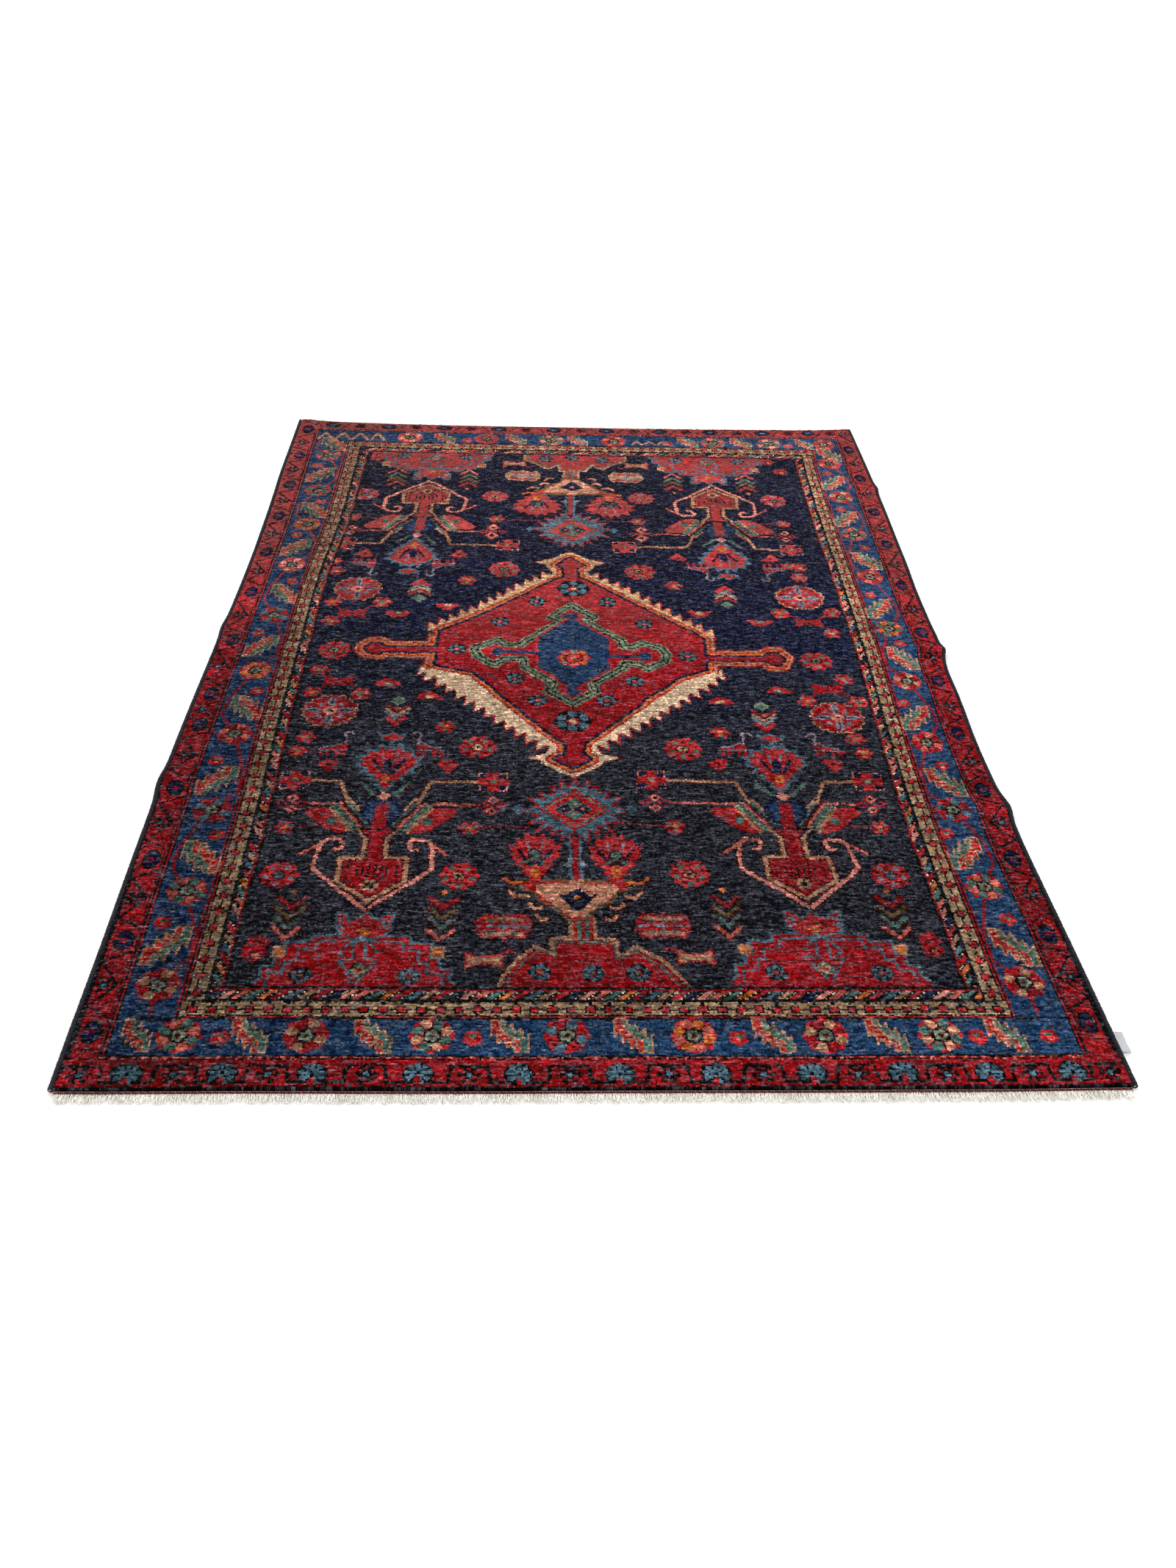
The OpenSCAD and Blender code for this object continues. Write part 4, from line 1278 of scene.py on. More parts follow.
def makeCotton():
    # undyed cotton, plain woven under tension: off-white, matt, with fine threads about 1 mm apart
    material, tree, shader, at = newMaterial("undyedCottonWeave")
    warps = addNode(tree, "ShaderNodeTexWave", (-1000, 100), {"Vector": at}, in_Scale=160.0,
                    in_Distortion=1.2, in_Detail=2.0,
                    bands_direction="X")
    wefts = addNode(tree, "ShaderNodeTexWave", (-1000, -150), {"Vector": at}, in_Scale=130.0,
                    in_Distortion=1.2, in_Detail=2.0,
                    bands_direction="Y")
    weave = addNode(tree, "ShaderNodeMath", (-780, 0), {0: warps.outputs["Fac"], 1: wefts.outputs["Fac"]},
                    operation="ADD")
    soil = addNode(tree, "ShaderNodeTexNoise", (-1000, -400), {"Vector": at}, in_Scale=40.0, in_Detail=4.0)
    tone = addNode(tree, "ShaderNodeValToRGB", (-600, -300), {"Fac": soil})
    tone.color_ramp.elements[0].color = colourSocket("#9d9482")
    tone.color_ramp.elements[1].color = colourSocket("#d9d1bf")
    tone.color_ramp.elements[0].position, tone.color_ramp.elements[1].position = 0.3, 0.62
    link(tree, tone, shader.inputs["Base Color"])
    bump = addNode(tree, "ShaderNodeBump", (-220, -350), {"Height": weave}, in_Strength=0.7,
                   in_Distance=0.0012)
    link(tree, bump, shader.inputs["Normal"])
    setShader(shader, Roughness=0.9, Specular_IOR_Level=0.15)
    return material


def makeKnotBack():
    # the back of the knots: each wool shows as small ribs between cotton wefts
    material, tree, shader, at = newMaterial("knotBacksAndCottonWefts")
    dye = addNode(tree, "ShaderNodeAttribute", (-1000, 250), attribute_name="wool")
    wefts = addNode(tree, "ShaderNodeTexWave", (-1000, 0), {"Vector": at}, in_Scale=125.0, in_Distortion=0.8,
                    in_Detail=1.0,
                    bands_direction="Y")
    ribs = addNode(tree, "ShaderNodeTexWave", (-1000, -250), {"Vector": at}, in_Scale=125.0,
                   in_Distortion=0.8,
                   in_Detail=1.0, bands_direction="X")
    cotton = addNode(tree, "ShaderNodeMapRange", (-760, 0), {"Value": wefts.outputs["Fac"]}, in_1=0.62,
                     in_2=0.95, in_3=0.0, in_4=0.4)
    mix = addNode(tree, "ShaderNodeMix", (-480, 150), {0: cotton}, data_type="RGBA")
    link(tree, dye.outputs["Color"], mix.inputs[6])
    mix.inputs[7].default_value = colourSocket("#b9ae9a")
    link(tree, mix.outputs[2], shader.inputs["Base Color"])
    height = addNode(tree, "ShaderNodeMath", (-700, -200), {0: wefts.outputs["Fac"], 1: ribs.outputs["Fac"]},
                     operation="ADD")
    bump = addNode(tree, "ShaderNodeBump", (-220, -350), {"Height": height}, in_Strength=0.6,
                   in_Distance=0.001)
    link(tree, bump, shader.inputs["Normal"])
    setShader(shader, Roughness=0.88, Specular_IOR_Level=0.15)
    return material


def makeYarn(name, darkHex, lightHex, rough=0.88, sheen=0.1, scale=700.0):
    # spun yarn: fine twisted fibres with their own tone, a little darker in the grooves, painted shade that
    # follows the bump
    material, tree, shader, at = newMaterial(name)
    fibre = addNode(tree, "ShaderNodeTexNoise", (-1000, 0), {"Vector": at}, in_Scale=scale, in_Detail=3.0)
    patch = addNode(tree, "ShaderNodeTexNoise", (-1000, -250), {"Vector": at}, in_Scale=45.0, in_Detail=2.0)
    blend = addNode(tree, "ShaderNodeMix", (-800, -100), {2: fibre, 3: patch}, in_0=0.4)
    tone = addNode(tree, "ShaderNodeValToRGB", (-560, 0), {"Fac": blend})
    tone.color_ramp.elements[0].color = colourSocket(darkHex)
    tone.color_ramp.elements[1].color = colourSocket(lightHex)
    tone.color_ramp.elements[0].position, tone.color_ramp.elements[1].position = 0.38, 0.6
    link(tree, tone, shader.inputs["Base Color"])
    bump = addNode(tree, "ShaderNodeBump", (-220, -350), {"Height": fibre}, in_Strength=0.5,
                   in_Distance=0.0006)
    link(tree, bump, shader.inputs["Normal"])
    setShader(shader, Roughness=rough, Specular_IOR_Level=0.2, Sheen_Weight=sheen, Sheen_Roughness=0.5)
    return material


cutWool = makeCutWool()
cottonWeave = makeCotton()
knotBack = makeKnotBack()
darkWool = makeYarn("darkWoolOvercasting", "#0c0c12", "#24242f")
redYarn = makeYarn("redWoolTwining", "#5e141b", "#a02a33")
blackYarn = makeYarn("blackWoolTwining", "#0d0d10", "#201d22")
cottonYarn = makeYarn("cutCottonWarpEnds", "#dcd6c9", "#fffdf6", 0.9, 0.0, 420.0)
cottonCord = makeYarn("cottonWarpCord", "#a89f8c", "#d8d0be", 0.9, 0.0)
labelTape = makeYarn("blankSatinLabelTape", "#9fa3a8", "#c9ccd0", 0.45, 0.0, 900.0)


# ---- meshes ----


def buildMesh(name, points, faces, material, corners=None, smooth=None, atlas=True):
    # points in millimetres; corners holds one linear colour for each face corner
    mesh = bpy.data.meshes.new(name)
    points = np.asarray(points, float) * mm
    loops = np.concatenate([np.asarray(f) for f in faces])
    starts = np.cumsum([0] + [len(f) for f in faces[:-1]])
    mesh.vertices.add(len(points))
    mesh.vertices.foreach_set("co", points.astype(np.float32).ravel())
    mesh.loops.add(len(loops))
    mesh.loops.foreach_set("vertex_index", loops.astype(np.int32))
    mesh.polygons.add(len(starts))
    mesh.polygons.foreach_set("loop_start", starts.astype(np.int32))
    mesh.update(calc_edges=True)
    mesh.validate()
    if corners is not None:
        layer = mesh.color_attributes.new("wool", "FLOAT_COLOR", "CORNER")
        rgba = np.ones((len(loops), 4), np.float32)
        rgba[:, :3] = corners
        layer.data.foreach_set("color", rgba.ravel())
    if atlas:
        low, high = points.min(0), points.max(0)
        span = np.maximum(high - low, 1e-6)
        uv = mesh.uv_layers.new(name="OFBake")
        flat = (points[loops][:, :2] - low[:2]) / span[:2] * 0.98 + 0.01
        uv.data.foreach_set("uv", flat.astype(np.float32).ravel())
    if smooth is not None:
        mesh.shade_smooth()
        mesh.set_sharp_from_angle(angle=math.radians(smooth))
    mesh.materials.append(material)
    obj = bpy.data.objects.new(name, mesh)
    bpy.context.scene.collection.objects.link(obj)
    return obj


relief = {
    "tuft": 0.32, "clump": 0.35, "sideways": 0.3, "wearAcross": 0.5, "shorn": 0.8, "colourLine": 0.35,
    "rimFall": 1.6, "seed": 17,
}


def rimOf(nu, nv):
    # the points round a grid, in order
    ring = list(range(nu - 1)) + [k * nu + nu - 1 for k in range(nv - 1)]
    return ring + [(nv - 1) * nu + k for k in range(nu - 1, 0, -1)] + [k * nu for k in range(nv - 1, 0, -1)]


def closedSlab(name, top, base, material, **options):
    # a top grid, a base grid under it and the wall between their rims
    nv, nu = top[0].shape
    count = nu * nv
    faces = []
    for j in range(nv - 1):
        for i in range(nu - 1):
            a = j * nu + i
            faces.append([a, a + 1, a + nu + 1, a + nu])
            faces.append([count + a, count + a + nu, count + a + nu + 1, count + a + 1])
    ring = rimOf(nu, nv)
    for a, b in zip(ring, ring[1:] + ring[:1]):
        faces.append([count + a, count + b, b, a])
    points = np.concatenate([np.stack(grid, -1).reshape(-1, 3) for grid in (top, base)])
    return buildMesh(name, points, faces, material, **options)


def latticePoints():
    # where each corner between four knots lies on the pile's top, and below on the foundation
    u = -pileX + cellX * np.arange(cols + 1)
    v = -pileY + cellY * np.arange(rows + 1)
    u, v = np.meshgrid(u, v)
    x, y, z = settle(u, v)
    shape = u.shape
    r = np.random.default_rng(relief["seed"])
    rim = np.ones(shape)
    rim[[0, -1], :] = 0
    rim[:, [0, -1]] = 0
    uneven = relief["tuft"] * r.normal(0, 1, shape) + relief["clump"] * softNoise(shape, (4, 4), 41)
    uneven += relief["wearAcross"] * softNoise(shape, (22, 60), 42)
    top = pileTop - relief["shorn"] + z + rim * uneven
    # worn lines where two colours meet sit a touch lower
    change = np.zeros(shape)
    change[1:-1, 1:-1] = (loomWool[1:, 1:] != loomWool[:-1, :-1]) | (loomWool[1:, :-1] != loomWool[:-1, 1:])
    top -= relief["colourLine"] * change
    top -= relief["rimFall"] * (1 - rim)
    sx = x + rim * relief["sideways"] * r.normal(0, 1, shape)
    sy = y + rim * relief["sideways"] * r.normal(0, 1, shape)
    return sx, sy, top, x, y, z + foundationTop


topX, topY, topZ, lowX, lowY, lowZ = latticePoints()


def tidyZones():
    # no two knots of a zone may meet at a corner only
    for _ in range(8):
        a, b = loomZone[:-1, :-1], loomZone[:-1, 1:]
        c, d = loomZone[1:, :-1], loomZone[1:, 1:]
        crossed = ((a == d) & (a != b) & (a != c)) | ((b == c) & (b != a) & (b != d))
        if not crossed.any():
            return
        for j, i in zip(*np.nonzero(crossed)):
            loomZone[j, i + 1] = loomZone[j, i]
            loomZone[j + 1, i + 1] = loomZone[j + 1, i]


def dropCrumbs():
    # a zone's stray knots join what lies beside them
    for zone in range(len(zoneNames)):
        mask = loomZone == zone
        beside = np.zeros(mask.shape, int)
        beside[1:] += mask[:-1]
        beside[:-1] += mask[1:]
        beside[:, 1:] += mask[:, :-1]
        beside[:, :-1] += mask[:, 1:]
        for j, i in zip(*np.nonzero(mask & (beside <= 1))):
            loomZone[j, i] = loomZone[j, i + 1 if i + 1 < cols else i - 1]


def floorOf(ids, rimEdges, mask):
    # triangles under a zone, between the corners along its edges
    rowOf, colOf = np.divmod(ids, cols + 1)
    where = {int(k): n for n, k in enumerate(ids)}
    edges = []
    for j0, i0, j1, i1 in rimEdges:
        edges.append((where[j0 * (cols + 1) + i0], where[j1 * (cols + 1) + i1]))
    flat = [Vector((float(i), float(j))) for j, i in zip(rowOf, colOf)]
    verts, _, faces, orig, _, _ = delaunay_2d_cdt(flat, edges, [], 1, 1e-5)
    back = [o[0] for o in orig]
    result = []
    for f in faces:
        cx = sum(verts[k].x for k in f) / 3
        cy = sum(verts[k].y for k in f) / 3
        if mask[min(int(cy), rows - 1), min(int(cx), cols - 1)]:
            tri = [back[k] for k in f]
            ax, ay = verts[f[1]].x - verts[f[0]].x, verts[f[1]].y - verts[f[0]].y
            bx, by = verts[f[2]].x - verts[f[0]].x, verts[f[2]].y - verts[f[0]].y
            result.append(tri if ax * by - ay * bx < 0 else tri[::-1])
    return result


def raisePile(zone, mask):
    padded = np.zeros((rows + 2, cols + 2), bool)
    padded[1:-1, 1:-1] = mask
    j, i = np.nonzero(mask)
    across = cols + 1
    corner = [j * across + i, j * across + i + 1, (j + 1) * across + i + 1, (j + 1) * across + i]
    quads = np.stack(corner, 1)
    used = np.unique(quads)
    index = np.full((rows + 1) * across, -1, np.int64)
    index[used] = np.arange(len(used))
    walls, wallKnots = [], []
    for dj, di, a, b in ((-1, 0, 0, 1), (0, 1, 1, 2), (1, 0, 2, 3), (0, -1, 3, 0)):
        bare = ~padded[j + 1 + dj, i + 1 + di]
        first, second = corner[a][bare], corner[b][bare]
        walls.append(np.stack([first, second], 1))
        wallKnots.append(np.stack([j[bare], i[bare]], 1))
    walls, wallKnots = np.concatenate(walls), np.concatenate(wallKnots)
    rimIds = np.unique(walls)
    lowIndex = np.full((rows + 1) * across, -1, np.int64)
    lowIndex[rimIds] = len(used) + np.arange(len(rimIds))
    points = np.concatenate([
        np.stack([topX.ravel()[used], topY.ravel()[used], topZ.ravel()[used]], 1),
        np.stack([lowX.ravel()[rimIds], lowY.ravel()[rimIds], lowZ.ravel()[rimIds]], 1)])
    wallFaces = np.stack([lowIndex[walls[:, 0]], lowIndex[walls[:, 1]], index[walls[:, 1]],
                          index[walls[:, 0]]], 1)
    a = np.stack(np.divmod(walls[:, 0], across), 1)
    b = np.stack(np.divmod(walls[:, 1], across), 1)
    floor = np.array(floorOf(rimIds, np.concatenate([a, b], 1).tolist(), mask), np.int64) + len(used)
    faces = [*index[quads], *wallFaces, *floor]
    colours = np.concatenate([
        np.repeat(knotColour[j, i], 4, 0),
        # painted shade: the sides of a pile zone take their knots' colour at 0.7
        np.repeat(knotColour[wallKnots[:, 0], wallKnots[:, 1]] * 0.7, 4, 0),
        np.tile(np.array(linear("#8d8576")), (len(floor) * 3, 1))])
    return buildMesh(zone, points, faces, cutWool, colours, smooth=60)


slots = {
    "outer_border": "red_pile_outer_border", "dotted_line": "black_red_pile_line",
    "main_border": "blue_pile_main_border",
    "gold_guard": "gold_pile_guard", "slash_guard": "slashed_pile_guard",
    "field_front": "black_navy_pile_field",
    "field_back": "navy_pile_field", "medallion_ground": "red_pile_medallion",
    "medallion_centre": "blue_pile_centre",
    "medallion_edge": "tan_pile_edge", "pendant": "orange_tan_pile_outline",
    "palmette": "orange_tan_pile_outline",
    "diamond": "red_blue_pile_diamond", "mound": "red_pile_mound",
}


def finishPiece(obj, slot, *nodes):
    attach(obj, "root")
    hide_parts(*nodes)
    return obj


dropCrumbs()
tidyZones()
for name in zoneNames:
    piece = raisePile("pile_" + name, loomZone == zoneOf[name])
    finishPiece(piece, next(slot for start, slot in slots.items() if name.startswith(start)), name)
print("pile raised:", len(zoneNames), "zones")


# ---- foundation ----

foundation = {"backCell": (5.0, 6.0), "topCell": 45.0}


def makeFoundation():
    nx, ny = int(2 * pileX / foundation["backCell"][0]), int(2 * pileY / foundation["backCell"][1])
    u, v = np.meshgrid(np.linspace(-pileX, pileX, nx + 1), np.linspace(-pileY, pileY, ny + 1))
    x, y, z = settle(u, v)
    j, i = np.meshgrid(np.arange(ny), np.arange(nx), indexing="ij")
    j, i = j.ravel(), i.ravel()
    across = nx + 1
    quads = np.stack([j * across + i, (j + 1) * across + i, (j + 1) * across + i + 1, j * across + i + 1], 1)
    ring = rimOf(nx + 1, ny + 1)
    low = np.stack([x.ravel(), y.ravel(), z.ravel()], 1)
    gu, gv = np.meshgrid(*(np.arange(30 - edge, edge - 20, foundation["topCell"]) for edge in (pileX,
        pileY)))
    gx, gy, gz = settle(gu.ravel(), gv.ravel())
    inner = np.stack([gx, gy, gz + foundationTop], 1)
    rim = low[ring] + [0, 0, foundationTop]
    top = np.concatenate([rim, inner])
    flat = [Vector((float(a), float(b))) for a, b in
            np.concatenate([np.stack([u.ravel()[ring], v.ravel()[ring]], 1),
                            np.stack([gu.ravel(), gv.ravel()], 1)])]
    edges = [(k, (k + 1) % len(ring)) for k in range(len(ring))]
    verts, _, tris, orig, _, _ = delaunay_2d_cdt(flat, edges, [], 1, 1e-4)
    back = [o[0] for o in orig]
    tops = []
    for f in tris:
        a, b, c = (verts[k] for k in f)
        up = (b.x - a.x) * (c.y - a.y) - (b.y - a.y) * (c.x - a.x) > 0
        tri = [len(low) + back[k] for k in f]
        tops.append(tri if up else tri[::-1])
    n = len(ring)
    walls = [[ring[k], ring[(k + 1) % n], len(low) + (k + 1) % n, len(low) + k] for k in range(n)]
    uc, vc = (u.ravel()[quads[:, 0]] + u.ravel()[quads[:, 2]]) / 2, (v.ravel()[quads[:,
        0]] + v.ravel()[quads[:, 2]]) / 2
    ci = np.clip(((uc + pileX) / cellX).astype(int), 0, cols - 1)
    cj = np.clip(((vc + pileY) / cellY).astype(int), 0, rows - 1)
    backs = np.repeat(np.clip(knotColour[cj, ci] * 1.25 + 0.01, 0, 1), 4, 0)
    cotton = np.array(linear("#b9ae9a"))
    corners = np.concatenate([backs, np.tile(cotton, (4 * len(walls) + 3 * len(tops), 1))])
    obj = buildMesh("foundation_weave", np.concatenate([low, top]), [*quads, *walls, *tops], knotBack,
                    corners, smooth=50)
    return finishPiece(obj, "cotton_ground_weave", "foundation")


foundationPiece = makeFoundation()


def edgeStrip(label, sign):
    # flat-woven strip beyond the last knots, ribbed by its wefts
    low, high = nodeBox("end_weave_" + label)
    x, y, z = settle(*np.meshgrid(np.linspace(low[0], high[0], 269), np.linspace(low[1], high[1], 5)))
    rib = 0.25 * np.sin(np.arange(x.shape[1]) * 2.2)
    fall = np.linspace(0, 0.8, 5)[::sign, None]
    strip = closedSlab("end_strip_" + label, (x, y, z + high[2] - 0.3 - fall + rib), (x, y, z), cottonWeave,
                       smooth=50)
    return finishPiece(strip, "cotton_ground_weave", "end_weave_" + label)


endStrips = [edgeStrip("front", -1), edgeStrip("back", 1)]
print("foundation and end strips made")


# ---- what repeats along an edge: geometry nodes ----


def pathObject(name, points):
    # a path of bare points and edges, in metres, for a node tree to work along
    mesh = bpy.data.meshes.new(name)
    mesh.from_pydata([tuple(c * mm for c in q) for q in points],
                     [(k, k + 1) for k in range(len(points) - 1)], [])
    obj = bpy.data.objects.new(name, mesh)
    bpy.context.scene.collection.objects.link(obj)
    return obj


def newTree(name, sockets):
    tree = bpy.data.node_groups.new(name, "GeometryNodeTree")
    tree.interface.new_socket("Geometry", in_out="INPUT", socket_type="NodeSocketGeometry")
    tree.interface.new_socket("Geometry", in_out="OUTPUT", socket_type="NodeSocketGeometry")
    for label, kind in sockets:
        tree.interface.new_socket(label, in_out="INPUT", socket_type=kind)
    return tree, addNode(tree, "NodeGroupInput", (-900, 0)), addNode(tree, "NodeGroupOutput", (1200, 0))


def grow(obj, tree, values):
    # runs the tree on the path and keeps the plain mesh
    modifier = obj.modifiers.new("grow", "NODES")
    modifier.node_group = tree
    for item in tree.interface.items_tree:
        if item.item_type == "SOCKET" and item.in_out == "INPUT" and item.name in values:
            modifier[item.identifier] = values[item.name]
    evaluated = obj.evaluated_get(bpy.context.evaluated_depsgraph_get())
    mesh = bpy.data.meshes.new_from_object(evaluated)
    name = obj.name
    bpy.data.objects.remove(obj)
    mesh.name = name
    made = bpy.data.objects.new(name, mesh)
    bpy.context.scene.collection.objects.link(made)
    return made


def overcastTree():
    # slanted turns of wool round the side cord
    tree, inside, out = newTree("overcastTurns", [
        ("Turn pitch", "NodeSocketFloat"), ("Cord radius", "NodeSocketFloat"),
        ("Yarn radius", "NodeSocketFloat"),
        ("Yarn", "NodeSocketMaterial"), ("Seed", "NodeSocketInt")])
    curve = addNode(tree, "GeometryNodeMeshToCurve", (-700, 200), {0: inside.outputs["Geometry"]})
    spaced = addNode(tree, "GeometryNodeResampleCurve", (-520, 200),
                     {"Curve": curve, "Length": inside.outputs["Turn pitch"]}, mode="LENGTH")
    ring = addNode(tree, "GeometryNodeCurvePrimitiveCircle", (-520, -100),
                   {"Radius": inside.outputs["Cord radius"]}, in_Resolution=10)
    section = addNode(tree, "GeometryNodeCurvePrimitiveCircle", (-520, -300),
                      {"Radius": inside.outputs["Yarn radius"]}, in_Resolution=5)
    turn = addNode(tree, "GeometryNodeCurveToMesh", (-340, -150), {"Curve": ring, "Profile Curve": section})
    tangent = addNode(tree, "GeometryNodeInputTangent", (-520, 0))
    align = addNode(tree, "FunctionNodeAlignRotationToVector", (-160, 0), {"Vector": tangent}, axis="Z")
    size = addNode(tree, "FunctionNodeRandomValue", (-160, -350), {"Seed": inside.outputs["Seed"]},
                   data_type="FLOAT")
    size.inputs[2].default_value, size.inputs[3].default_value = 0.93, 1.05
    tilt = addNode(tree, "FunctionNodeRandomValue", (-160, -550), {"Seed": inside.outputs["Seed"]},
                   data_type="FLOAT_VECTOR")
    tilt.inputs[0].default_value, tilt.inputs[1].default_value = (0.16, -0.06, 0.0), (0.3, 0.06, 3.0)
    lean = addNode(tree, "FunctionNodeRotateRotation", (20, -100), {0: align}, rotation_space="LOCAL")
    asRotation = addNode(tree, "FunctionNodeEulerToRotation", (-160, -700), {0: tilt})
    link(tree, asRotation, lean.inputs[1])
    put = addNode(tree, "GeometryNodeInstanceOnPoints", (220, 100), {"Points": spaced, "Instance": turn,
                  "Rotation": lean, "Scale": size.outputs[1]})
    real = addNode(tree, "GeometryNodeRealizeInstances", (420, 100), {0: put})
    smooth = addNode(tree, "GeometryNodeSetShadeSmooth", (600, 100), {0: real})
    dye = addNode(tree, "GeometryNodeSetMaterial", (800, 100),
                  {0: smooth, "Material": inside.outputs["Yarn"]})
    link(tree, dye, out.inputs[0])
    return tree


def yarnTree():
    # a yarn along a path, wound round it as one strand of a twist
    tree, inside, out = newTree("twistedYarn", [
        ("Yarn radius", "NodeSocketFloat"), ("Twist radius", "NodeSocketFloat"),
        ("Twist pitch", "NodeSocketFloat"),
        ("Start angle", "NodeSocketFloat"), ("Step", "NodeSocketFloat"), ("Sides", "NodeSocketInt"),
        ("Yarn", "NodeSocketMaterial")])
    curve = addNode(tree, "GeometryNodeMeshToCurve", (-700, 200), {0: inside.outputs["Geometry"]})
    spaced = addNode(tree, "GeometryNodeResampleCurve", (-520, 200),
                     {"Curve": curve, "Length": inside.outputs["Step"]}, mode="LENGTH")
    along = addNode(tree, "GeometryNodeSplineParameter", (-520, -100))
    turns = addNode(tree, "ShaderNodeMath", (-340, -100),
                    {0: along.outputs["Length"], 1: inside.outputs["Twist pitch"]}, operation="DIVIDE")
    angle = addNode(tree, "ShaderNodeMath", (-180, -100), {0: turns, 2: inside.outputs["Start angle"]},
                    operation="MULTIPLY_ADD", in_1=2 * math.pi)
    sine = addNode(tree, "ShaderNodeMath", (-20, -50), {0: angle}, operation="SINE")
    cosine = addNode(tree, "ShaderNodeMath", (-20, -220), {0: angle}, operation="COSINE")
    offset = addNode(tree, "ShaderNodeCombineXYZ", (140, -100), {"Y": cosine, "Z": sine})
    scaled = addNode(tree, "ShaderNodeVectorMath", (300, -100), {0: offset}, operation="SCALE")
    link(tree, inside.outputs["Twist radius"], scaled.inputs["Scale"])
    move = addNode(tree, "GeometryNodeSetPosition", (460, 100), {0: spaced, "Offset": scaled})
    section = addNode(tree, "GeometryNodeCurvePrimitiveCircle", (460, -200),
                      {"Resolution": inside.outputs["Sides"], "Radius": inside.outputs["Yarn radius"]})
    tube = addNode(tree, "GeometryNodeCurveToMesh", (640, 100), {"Curve": move, "Profile Curve": section},
                   in_Fill_Caps=True)
    real = addNode(tree, "GeometryNodeRealizeInstances", (800, 100), {0: tube})
    dye = addNode(tree, "GeometryNodeSetMaterial", (960, 100), {0: real, "Material": inside.outputs["Yarn"]})
    link(tree, dye, out.inputs[0])
    return tree


def fringeTree():
    # cut warp ends that lie out from the edge, each a little bent and of its own length
    tree, inside, out = newTree("cutWarpEnds", [
        ("Thread radius", "NodeSocketFloat"), ("Thread length", "NodeSocketFloat"),
        ("Outward", "NodeSocketFloat"),
        ("Splay", "NodeSocketFloat"), ("Yarn", "NodeSocketMaterial"), ("Seed", "NodeSocketInt")])
    points = addNode(tree, "GeometryNodeMeshToPoints", (-700, 200), {0: inside.outputs["Geometry"]})
    thread = addNode(tree, "GeometryNodeCurvePrimitiveLine", (-700, -150))
    thread.inputs["End"].default_value = (1, 0, 0)
    fine = addNode(tree, "GeometryNodeResampleCurve", (-520, -150), {0: thread}, in_Count=6)
    along = addNode(tree, "GeometryNodeSplineParameter", (-520, -350))
    thin = addNode(tree, "ShaderNodeMapRange", (-340, -350), {0: along}, in_1=0.0, in_2=1.0, in_3=1.0,
                   in_4=0.55)
    tapered = addNode(tree, "GeometryNodeSetCurveRadius", (-340, -150), {0: fine, "Radius": thin})
    keep = addNode(tree, "GeometryNodeStoreNamedAttribute", (-180, -150), {0: tapered}, data_type="FLOAT",
                   domain="POINT", in_Name="reach")
    link(tree, along, keep.inputs["Value"])
    section = addNode(tree, "GeometryNodeCurvePrimitiveCircle", (-180, -400), in_Resolution=4, in_Radius=1.0)
    tube = addNode(tree, "GeometryNodeCurveToMesh", (0, -150),
                   {"Curve": keep, "Profile Curve": section, "Scale": thin},
                   in_Fill_Caps=True)
    longness = addNode(tree, "FunctionNodeRandomValue", (0, 400), {"Seed": inside.outputs["Seed"]},
                       data_type="FLOAT")
    longness.inputs[2].default_value, longness.inputs[3].default_value = 0.62, 1.0
    reach = addNode(tree, "ShaderNodeMath", (180, 400),
                    {0: longness.outputs[1], 1: inside.outputs["Thread length"]}, operation="MULTIPLY")
    size = addNode(tree, "ShaderNodeCombineXYZ", (340, 300),
                   {"X": reach, "Y": inside.outputs["Thread radius"], "Z": inside.outputs["Thread radius"]})
    swing = addNode(tree, "FunctionNodeRandomValue", (0, 620), {"Seed": inside.outputs["Seed"]},
                    data_type="FLOAT")
    swing.inputs[2].default_value, swing.inputs[3].default_value = -1.0, 1.0
    angle = addNode(tree, "ShaderNodeMath", (180, 620), {0: swing.outputs[1], 1: inside.outputs["Splay"],
                                                         2: inside.outputs["Outward"]},
                    operation="MULTIPLY_ADD")
    turn = addNode(tree, "ShaderNodeCombineXYZ", (340, 620), {"Z": angle})
    asRotation = addNode(tree, "FunctionNodeEulerToRotation", (500, 620), {0: turn})
    put = addNode(tree, "GeometryNodeInstanceOnPoints", (520, 100), {"Points": points, "Instance": tube,
                  "Rotation": asRotation, "Scale": size})
    real = addNode(tree, "GeometryNodeRealizeInstances", (700, 100), {0: put})
    stored = addNode(tree, "GeometryNodeInputNamedAttribute", (520, -250), data_type="FLOAT",
                     in_Name="reach")
    position = addNode(tree, "GeometryNodeInputPosition", (340, -400))
    wander = addNode(tree, "ShaderNodeTexNoise", (520, -400), {"Vector": position}, in_Scale=210.0,
                     in_Detail=2.0)
    centred = addNode(tree, "ShaderNodeVectorMath", (700, -400), {0: wander.outputs["Color"]},
                      operation="SUBTRACT")
    centred.inputs[1].default_value = (0.5, 0.5, 0.45)
    weight = addNode(tree, "ShaderNodeMath", (700, -250), {0: stored, 1: stored}, operation="MULTIPLY")
    bend = addNode(tree, "ShaderNodeVectorMath", (860, -300), {0: centred}, operation="SCALE")
    link(tree, weight, bend.inputs["Scale"])
    flatter = addNode(tree, "ShaderNodeVectorMath", (1000, -300), {0: bend}, operation="MULTIPLY")
    flatter.inputs[1].default_value = (0.016, 0.005, 0.006)
    move = addNode(tree, "GeometryNodeSetPosition", (1000, 100), {0: real, "Offset": flatter})
    dye = addNode(tree, "GeometryNodeSetMaterial", (1150, 100),
                  {0: move, "Material": inside.outputs["Yarn"]})
    link(tree, dye, out.inputs[0])
    return tree


